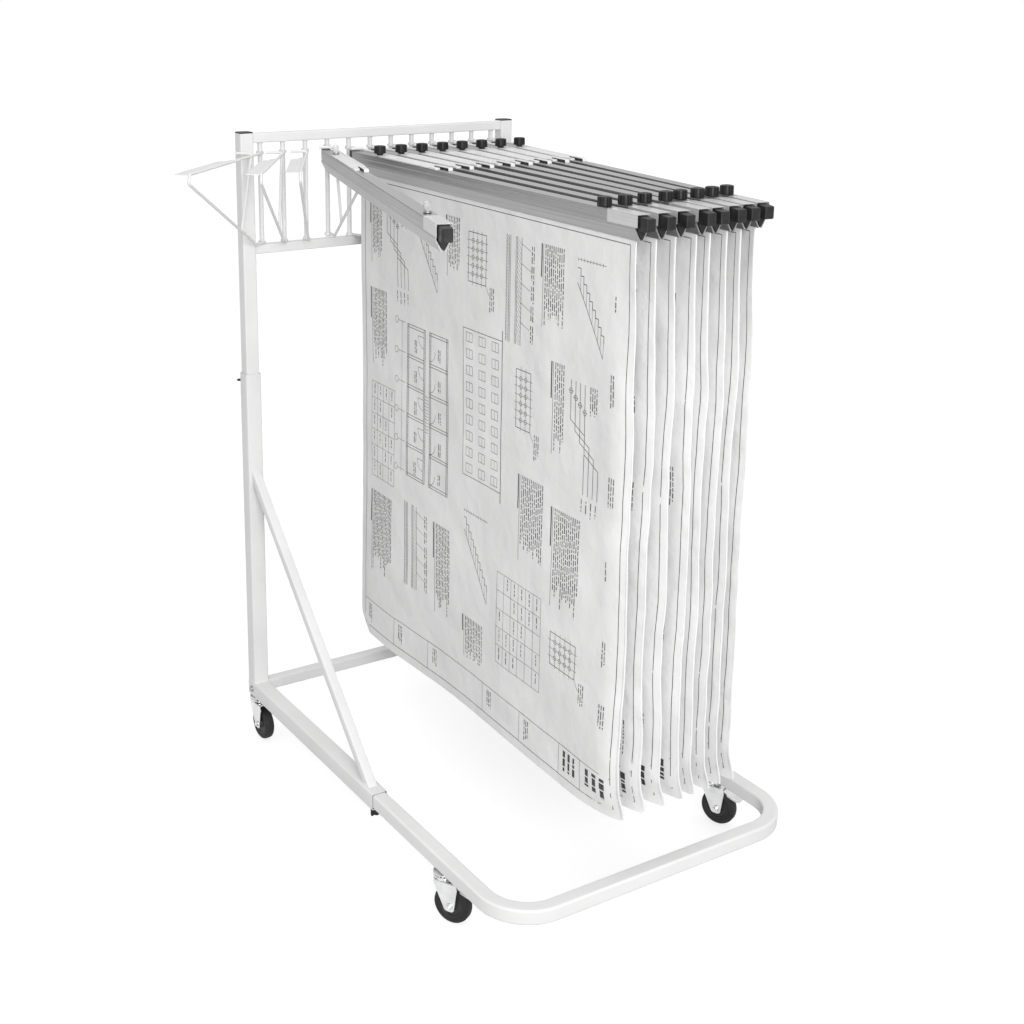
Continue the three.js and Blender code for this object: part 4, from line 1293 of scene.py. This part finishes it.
def sheet_point(number, across, down, lift=0.0):
    """Place on a hanging sheet; lift moves it off the middle of the set, to the right when positive."""
    along = across / PLAN_WIDTH
    below = max(0.0, (down - PLAN_INSERTION - HELD_BELOW_MOUTH) / PLAN_LENGTH)
    phase = PHASE_STEP * (number - 1)
    sway = sum(height * math.sin(2 * math.pi * waves * along + way * phase) for height, waves, way in SWAYS)
    past_along = max(0.0, (along - CORNER_ALONG) / (1 - CORNER_ALONG))
    past_below = max(0.0, (below - CORNER_BELOW) / (1 - CORNER_BELOW))
    corner = past_along * past_below
    x = sway * below * below + CORNER_SWING * corner * corner
    free = ramp((down - FREE_FROM) / FREE_OVER)
    loose = ramp((across - PLAN_WIDTH + LOOSE_REACH) / LOOSE_REACH) * free
    for share, ripples in ((free, SHEET_RIPPLES), (loose, FRONT_RIPPLES)):
        for height, scale_across, scale_down, scale_set in ripples:
            at = (across * scale_across, down * scale_down, number * scale_set)
            x += height * share * noise.noise(at)
    turned = max(0.0, (across - PLAN_WIDTH + EDGE_TURN_REACH) / EDGE_TURN_REACH)
    x += EDGE_TURN * turned * turned * free
    front = ramp((across - PLAN_WIDTH + HOOK_REACH) / HOOK_REACH)
    hem = ramp((down - PLAN_LENGTH + HEM_REACH) / HEM_REACH)
    x += HOOK * front * hem * hem
    y = across
    z = down
    past = (CURL_REACH - across - (PLAN_LENGTH - down)) / math.sqrt(2)
    if past > 0:
        angle = past / CURL_RADIUS
        drawn_in = (past - CURL_RADIUS * math.sin(angle)) / math.sqrt(2)
        x += CURL_RADIUS * (1 - math.cos(angle))
        y += drawn_in
        z -= drawn_in
    return Vector((CLAMP_CENTRE + x + lift, -PLAN_REAR_AT - y, PLAN_TOP - z))


def plan_slab(number, form, thickness, shift=0.0, spread=None, columns=84, rows=96):
    """Closed sheet or stack of sheets; spread adds a sideways lift at a place on it."""
    across_steps = [PLAN_WIDTH * i / columns for i in range(columns + 1)]
    down_steps = [PLAN_LENGTH * j / rows for j in range(rows + 1)]
    width = columns + 1
    points = []
    for face in (-1, 1):
        for down in down_steps:
            for across in across_steps:
                extra = spread(across, down) if spread else 0.0
                points.append(sheet_point(number, across, down, shift + extra + face * thickness / 2))
    back = width * (rows + 1)
    faces = []
    spots = []
    for j in range(rows):
        for i in range(columns):
            a = j * width + i
            cell = [(across_steps[i], down_steps[j]), (across_steps[i + 1], down_steps[j]),
                    (across_steps[i + 1], down_steps[j + 1]), (across_steps[i], down_steps[j + 1])]
            faces.append((a, a + 1, a + width + 1, a + width))
            spots.append(cell)
            faces.append((back + a, back + a + width, back + a + width + 1, back + a + 1))
            spots.append([cell[0], cell[3], cell[2], cell[1]])
    form.add(points, faces, 0, spots)
    rim = list(range(width)) + [j * width + columns for j in range(1, rows + 1)]
    rim += [rows * width + i for i in range(columns - 1, -1, -1)]
    rim += [j * width for j in range(rows - 1, 0, -1)]
    start = len(form.points) - len(points)
    for k, a in enumerate(rim):
        b = rim[(k + 1) % len(rim)]
        step = RIM_STEP * k
        edge = [(step, 0.0), (step, thickness), (step + RIM_STEP, thickness), (step + RIM_STEP, 0.0)]
        form.faces.append([start + a, start + back + a, start + back + b, start + b])
        form.finishes.append(1)
        form.spots.append(edge)


def front_leaf_lift(number):
    """Top sheet of a set: it stands off a little more towards the hem and its front edge."""
    dice = random.Random(100 + number)
    hem_gap = dice.uniform(0.0012, 0.0030)
    front_gap = dice.uniform(0.0010, 0.0026)

    def lift(across, down):
        loose = ramp((down - 0.1) / PLAN_LENGTH)
        return -loose * (hem_gap * down / PLAN_LENGTH + front_gap * (across / PLAN_WIDTH) ** 3)

    return lift


# Drawings: strokes of ink laid on the top sheet, all made up from plain lines

STROKE_STEP = 0.030
HAIRLINE = 0.0007
FINE = 0.0008
THIN = 0.0009
PLAIN = 0.0010
FIRM = 0.0011
STRONG = 0.0012
BOLD = 0.0013
HEAVY = 0.0014
GROUND_LINE = 0.0020
HEADING = 0.0034
ROW_PITCH = 0.0062
ROW_HEIGHT = 0.0032
WORD_GAP = 0.0026


class Drawing:
    """Strokes on one sheet; places are across and below the clamp's mouth."""

    def __init__(self, number):
        self.number = number
        self.form = Form()
        self.dice = random.Random(number)
        self.lift = front_leaf_lift(number)

    def spot(self, across, below):
        down = below + PLAN_INSERTION
        off = FACE_LIFT - LEAF_THICKNESS / 2 - INK_GAP + self.lift(across, down)
        return sheet_point(self.number, across, down, off)

    def line(self, a0, b0, a1, b1, width=PLAIN):
        length = math.hypot(a1 - a0, b1 - b0)
        if length < 1e-6:
            return
        steps = max(1, math.ceil(length / STROKE_STEP))
        side_a = -(b1 - b0) / length * width / 2
        side_b = (a1 - a0) / length * width / 2
        points = []
        for k in range(steps + 1):
            a = a0 + (a1 - a0) * k / steps
            b = b0 + (b1 - b0) * k / steps
            points += [self.spot(a - side_a, b - side_b), self.spot(a + side_a, b + side_b)]
        faces = [(2 * k, 2 * k + 1, 2 * k + 3, 2 * k + 2) for k in range(steps)]
        self.form.add(points, faces)

    def path(self, points, width=PLAIN, closed=False):
        ends = points[1:] + points[:1] if closed else points[1:]
        for (a0, b0), (a1, b1) in zip(points, ends):
            self.line(a0, b0, a1, b1, width)

    def frame(self, a0, b0, a1, b1, width=PLAIN):
        self.path([(a0, b0), (a1, b0), (a1, b1), (a0, b1)], width, closed=True)

    def circle(self, a, b, radius, width=THIN, start=0.0, end=2 * math.pi):
        steps = max(4, round(abs(end - start) * 3))
        turns = [start + (end - start) * k / steps for k in range(steps + 1)]
        self.path([(a + radius * math.cos(t), b + radius * math.sin(t)) for t in turns], width)

    def rows(self, a0, b0, count, length, pitch=ROW_PITCH, height=ROW_HEIGHT):
        """Block of greeked writing whose rows run down the sheet."""
        for k in range(count):
            a = a0 + k * pitch
            end = b0 + length * self.dice.uniform(0.72, 1.0)
            b = b0
            while b < end:
                word = self.dice.uniform(0.004, 0.016)
                self.line(a, b, a, min(b + word, end), height * self.dice.uniform(0.55, 0.8))
                b += word + WORD_GAP

    def hatch(self, a0, b0, a1, b1, pitch=0.005):
        """Slanting strokes across a band."""
        b = b0
        lean = a1 - a0
        while b < b1:
            share = min(1.0, (b1 - b) / max(abs(lean), 1e-6))
            self.line(a0, b, a0 + lean * share, b + abs(lean) * share, HAIRLINE)
            b += pitch

    def grid(self, a0, b0, columns, rows, cell_a, cell_b):
        for i in range(columns + 1):
            self.line(a0 + i * cell_a, b0, a0 + i * cell_a, b0 + rows * cell_b, FINE)
        for j in range(rows + 1):
            self.line(a0, b0 + j * cell_b, a0 + columns * cell_a, b0 + j * cell_b, FINE)

    def table(self, a0, b0, columns, rows, cell_a, cell_b):
        self.grid(a0, b0, columns, rows, cell_a, cell_b)
        for i in range(columns):
            for j in range(rows):
                if self.dice.random() < 0.8:
                    self.rows(a0 + (i + 0.5) * cell_a, b0 + j * cell_b + 0.004, 1, cell_b - 0.010)

    def wall(self, a0, b0, a1, b1, thick=0.006):
        """Double line, hatched between where the wall runs down the sheet."""
        if abs(a1 - a0) > abs(b1 - b0):
            self.frame(a0, b0, a1, b0 + thick, STRONG)
        else:
            self.frame(a0, b0, a0 + thick, b1, STRONG)
            self.hatch(a0, b0, a0 + thick, b1, 0.007)

    def floor_plan(self, a0, b0, wide, long):
        """Rooms either side of a passage, with doors, a stair and dimension lines."""
        for a in (a0, a0 + 0.42 * wide, a0 + 0.56 * wide, a0 + wide - 0.006):
            self.wall(a, b0, a, b0 + long)
        rooms = 5
        for k in range(rooms + 1):
            b = b0 + (long - 0.006) * k / rooms
            self.wall(a0, b, a0 + 0.42 * wide, b)
            self.wall(a0 + 0.56 * wide, b, a0 + wide, b)
        for k in range(rooms):
            b = b0 + long * (k + 0.25) / rooms
            swing = 0.024
            self.circle(a0 + 0.42 * wide, b, swing, THIN, math.pi / 2, math.pi)
            self.line(a0 + 0.42 * wide - swing, b, a0 + 0.42 * wide, b)
            self.circle(a0 + 0.56 * wide, b + 0.02, swing, THIN, 0, math.pi / 2)
            self.rows(a0 + 0.2 * wide, b + 0.012, 2, 0.03)
            self.rows(a0 + 0.78 * wide, b + 0.012, 2, 0.03)
        for k in range(12):
            b = b0 + 0.42 * long + 0.007 * k
            self.line(a0 + 0.44 * wide, b, a0 + 0.54 * wide, b, FINE)
        for k in range(rooms + 1):
            b = b0 + (long - 0.006) * k / rooms
            self.line(a0 - 0.04, b, a0 - 0.008, b, FINE)
            self.circle(a0 - 0.047, b, 0.007)
        self.line(a0 - 0.024, b0, a0 - 0.024, b0 + long, FINE)

    def section_strip(self, a0, b0, wide, long):
        """Upright cut through a wall: layers, ground hatch and leaders to notes."""
        for share in (0.0, 0.18, 0.26, 0.62, 0.7, 1.0):
            self.line(a0 + share * wide, b0, a0 + share * wide, b0 + long, FIRM)
        self.hatch(a0, b0, a0 + 0.18 * wide, b0 + long, 0.006)
        self.hatch(a0 + 0.7 * wide, b0, a0 + wide, b0 + long, 0.009)
        for k in range(5):
            b = b0 + long * (k + 0.3) / 5.5
            self.line(a0 + wide, b, a0 + wide + 0.030, b + 0.010, FINE)
            self.rows(a0 + wide + 0.034, b, 2, 0.034)

    def elevation(self, a0, b0, wide, long):
        """Front of a building with rows of windows over a ground line."""
        self.frame(a0, b0, a0 + wide, b0 + long, STRONG)
        self.line(a0 + wide, b0 - 0.02, a0 + wide, b0 + long + 0.02, GROUND_LINE)
        for floor in range(3):
            for bay in range(9):
                a = a0 + wide * (floor + 0.25) / 3
                b = b0 + long * (bay + 0.22) / 9
                self.frame(a, b, a + 0.16 * wide, b + 0.06 * long, THIN)
                self.line(a + 0.08 * wide, b, a + 0.08 * wide, b + 0.06 * long, HAIRLINE)

    def notes(self, a0, b0, count, length):
        """Bold heading with a rule beside it, then rows of greeked writing."""
        self.line(a0, b0, a0, b0 + 0.4 * length, HEADING)
        self.line(a0 + 0.005, b0, a0 + 0.005, b0 + length)
        self.rows(a0 + 0.012, b0, count, length)

    def stair_cut(self, a0, b0, steps):
        """Flight of steps cut through, with strokes down to its underside and a line of sizes."""
        rise = 0.009
        going = 0.013
        slab = 0.026
        points = [(a0, b0)]
        for k in range(steps):
            a = a0 + rise * (k + 1)
            points += [(a, b0 + going * k), (a, b0 + going * (k + 1))]
            self.line(a, b0 + going * (k + 1), a, b0 + going * (k + 1) + slab, HAIRLINE)
            self.line(a - rise, b0 - 0.012, a - rise, b0 - 0.018, FINE)
        self.path(points, HEAVY)
        self.line(a0, b0 + slab, a0 + rise * steps, b0 + going * steps + slab, STRONG)
        self.line(a0, b0 - 0.015, a0 + rise * steps, b0 - 0.015, FINE)

    def bolt_group(self, a0, b0, columns, rows):
        """Plate with circles where its centre lines cross, and a leader to a note."""
        pitch = 0.016
        wide = (columns + 1) * pitch
        long = (rows + 1) * pitch
        past = 0.006
        self.frame(a0, b0, a0 + wide, b0 + long, BOLD)
        for i in range(columns):
            a = a0 + (i + 1) * pitch
            self.line(a, b0 - past, a, b0 + long + past, HAIRLINE)
            for j in range(rows):
                self.circle(a, b0 + (j + 1) * pitch, 0.0042)
        for j in range(rows):
            b = b0 + (j + 1) * pitch
            self.line(a0 - past, b, a0 + wide + past, b, HAIRLINE)
        self.line(a0 + wide, b0 + long, a0 + wide + 0.012, b0 + long + 0.016, FINE)
        self.rows(a0 + wide + 0.016, b0 + long, 3, 0.05)

    def pipe_run(self, a0, b0, wide, long):
        """Pipes that step sideways together, with a valve on each and notes beside them."""
        for k in range(4):
            a = a0 + wide * k / 6
            bend = b0 + long * (0.36 + 0.09 * k)
            end = a + 0.5 * wide
            self.path([(a, b0), (a, bend), (end, bend + 0.02), (end, b0 + long)], BOLD)
            valve = b0 + long * (0.1 + 0.05 * k)
            self.circle(a, valve, 0.005)
            self.line(a - 0.007, valve, a + 0.007, valve)
            self.rows(end - 0.003, b0 + long + 0.008, 1, 0.03)
        self.rows(a0 + 0.7 * wide, b0, 4, 0.28 * long)

    def margin_notes(self):
        """Short rows of writing down the front margin, which shows between the sets."""
        for k in range(6):
            b = 0.06 + 0.15 * k + self.dice.uniform(0.0, 0.07)
            self.rows(PLAN_WIDTH - 0.046, b, 1 + k % 3, self.dice.uniform(0.03, 0.08))

    def border(self):
        """Frame round the sheet, with a row of cells along the hem."""
        low = 0.009
        high = PLAN_LENGTH - PLAN_INSERTION - 0.020
        rear = 0.020
        front = PLAN_WIDTH - 0.011
        self.frame(rear, low, front, high, BOLD)
        strip = high - 0.062
        self.line(rear, strip, front, strip, FIRM)
        for a in (0.16, 0.30, 0.52, 0.66, 0.80, 0.87):
            self.line(a, strip, a, high, FINE)
        inside = strip + 0.008
        self.rows(0.818, inside, 3, 0.046, pitch=0.016, height=0.0100)
        self.rows(0.892, inside, 3, 0.046, pitch=0.021, height=0.0150)
        for a in (0.04, 0.18, 0.32, 0.54, 0.68):
            self.rows(a, inside, 3, 0.044)


def draw_sheet(number):
    """Ink of one sheet, in one of two layouts."""
    drawing = Drawing(number)
    drawing.border()
    drawing.margin_notes()
    if number % 2:
        drawing.notes(0.045, 0.045, 7, 0.14)
        drawing.pipe_run(0.120, 0.050, 0.090, 0.17)
        drawing.stair_cut(0.250, 0.060, 9)
        drawing.notes(0.365, 0.040, 7, 0.12)
        drawing.bolt_group(0.450, 0.060, 3, 5)
        drawing.section_strip(0.585, 0.045, 0.050, 0.20)
        drawing.notes(0.700, 0.045, 10, 0.15)
        drawing.stair_cut(0.810, 0.070, 9)
        drawing.notes(0.045, 0.240, 10, 0.17)
        drawing.floor_plan(0.205, 0.290, 0.170, 0.33)
        drawing.elevation(0.435, 0.250, 0.140, 0.30)
        drawing.bolt_group(0.625, 0.290, 2, 6)
        drawing.notes(0.740, 0.250, 5, 0.17)
        drawing.pipe_run(0.800, 0.270, 0.085, 0.20)
        drawing.table(0.045, 0.450, 4, 6, 0.026, 0.036)
        drawing.notes(0.640, 0.490, 12, 0.17)
        drawing.notes(0.750, 0.520, 13, 0.19)
        drawing.stair_cut(0.440, 0.640, 10)
        drawing.section_strip(0.200, 0.680, 0.050, 0.19)
        drawing.notes(0.045, 0.700, 14, 0.19)
        drawing.notes(0.320, 0.690, 9, 0.20)
        drawing.table(0.570, 0.710, 6, 5, 0.026, 0.038)
        drawing.notes(0.440, 0.850, 11, 0.09)
        drawing.bolt_group(0.760, 0.760, 4, 3)
    else:
        drawing.floor_plan(0.200, 0.100, 0.300, 0.52)
        drawing.section_strip(0.580, 0.080, 0.060, 0.34)
        drawing.notes(0.045, 0.060, 12, 0.22)
        drawing.notes(0.700, 0.060, 20, 0.20)
        drawing.pipe_run(0.730, 0.300, 0.110, 0.20)
        drawing.table(0.560, 0.500, 8, 8, 0.026, 0.044)
        drawing.notes(0.060, 0.700, 24, 0.18)
        drawing.elevation(0.280, 0.720, 0.120, 0.20)
        drawing.bolt_group(0.440, 0.720, 4, 6)
        drawing.stair_cut(0.800, 0.620, 12)
    return drawing.form


def plan_sets():
    for number in range(FIRST_LOADED, SPINDLE_COUNT + 1):
        label = f"{number:02d}"
        place = hanger_place(number)
        body = f"hanger_{label}"
        stack = Form()
        plan_slab(number, stack, PLAN_THICKNESS)
        # The first set gets the darker paper, painted shade; the sets behind get the lighter paper, painted
        # light.
        paper = SHADE_PAINTED_FRONT_PAPER if number == FIRST_LOADED else PAPER
        stack_piece = make_piece(f"plan_stack_{label}", stack, [paper, PAPER_EDGE], body, place,
                                 [f"plan_set_{label}"])
        leaf = Form()
        plan_slab(number, leaf, LEAF_THICKNESS, FACE_LIFT, front_leaf_lift(number))
        leaf_piece = make_piece(f"plan_leaf_{label}", leaf, [paper, paper], body, place)
        ink_piece = make_piece(f"plan_ink_{label}", draw_sheet(number), [INK], body, place, closed=False)


plan_sets()


# Stage, light and camera

def floor():
    """Pale floor that looks nearly as white as the photo's ground, and still takes a soft shadow."""
    form = Form()
    form.slab(rectangle(-30, -30, 30, 30, 8, 12), -0.02, 0.0)
    material = bpy.data.materials.new("pale studio floor")
    material.use_nodes = True
    tree = material.node_tree
    shader = tree.nodes["Principled BSDF"]
    shader.inputs["Base Color"].default_value = grey(0.42)
    shader.inputs["Roughness"].default_value = 0.9
    shader.inputs["Emission Color"].default_value = grey(1.0)
    rays = add_node(tree, "ShaderNodeLightPath")
    seen = add_node(tree, "ShaderNodeMath", operation="MAXIMUM")
    glow = add_node(tree, "ShaderNodeMath", {1: 0.68}, operation="MULTIPLY")
    wire(
        tree,
        (rays, "Is Camera Ray", seen, 0),
        (rays, "Is Glossy Ray", seen, 1),
        (seen, "Value", glow, 0),
        (glow, "Value", shader, "Emission Strength"),
    )
    piece = bpy.data.objects.new("floor", form.mesh("floor", [material]))
    bpy.context.scene.collection.objects.link(piece)


def world():
    """White surroundings that light the rack less than they show to the camera and in reflections."""
    sky = bpy.data.worlds.new("white studio")
    sky.use_nodes = True
    tree = sky.node_tree
    light = tree.nodes["Background"]
    light.inputs["Color"].default_value = grey(1.0)
    rays = add_node(tree, "ShaderNodeLightPath")
    clear = add_node(tree, "ShaderNodeMath", operation="MAXIMUM")
    seen = add_node(tree, "ShaderNodeMath", operation="MAXIMUM")
    level = add_node(tree, "ShaderNodeMapRange", {"To Min": 0.75, "To Max": 1.0})
    wire(
        tree,
        (rays, "Is Glossy Ray", clear, 0),
        (rays, "Is Transmission Ray", clear, 1),
        (rays, "Is Camera Ray", seen, 0),
        (clear, "Value", seen, 1),
        (seen, "Value", level, "Value"),
        (level, "Result", light, "Strength"),
    )
    bpy.context.scene.world = sky


def soft_light(name, at, target, size, power):
    lamp = bpy.data.lights.new(name, "AREA")
    lamp.shape = "SQUARE"
    lamp.size = size
    lamp.energy = power
    piece = bpy.data.objects.new(name, lamp)
    piece.location = FRAME_ORIGIN + Vector(at)
    aim = FRAME_ORIGIN + Vector(target) - piece.location
    piece.rotation_euler = aim.to_track_quat("-Z", "Y").to_euler()
    bpy.context.scene.collection.objects.link(piece)


def camera():
    lens = bpy.data.cameras.new("photograph view")
    lens.lens = CAMERA_LENS
    lens.sensor_width = CAMERA_SENSOR
    lens.shift_x, lens.shift_y = CAMERA_SHIFT
    piece = bpy.data.objects.new("photograph view", lens)
    aim = spun(CAMERA_YAW, "Z") @ spun(90 - CAMERA_PITCH, "X") @ spun(CAMERA_ROLL, "Z")
    piece.matrix_world = Matrix.Translation(FRAME_ORIGIN + CAMERA_FROM_POSTS) @ aim
    bpy.context.scene.collection.objects.link(piece)
    bpy.context.scene.camera = piece


floor()
world()
soft_light("key softbox", (-1.6, -3.9, 2.1), (0, -0.5, 0.8), size=1.6, power=110)
soft_light("top softbox", (0.2, -0.6, 3.6), (0, -0.5, 0.6), size=2.6, power=9)
camera()
bpy.context.scene.view_settings.view_transform = "Standard"
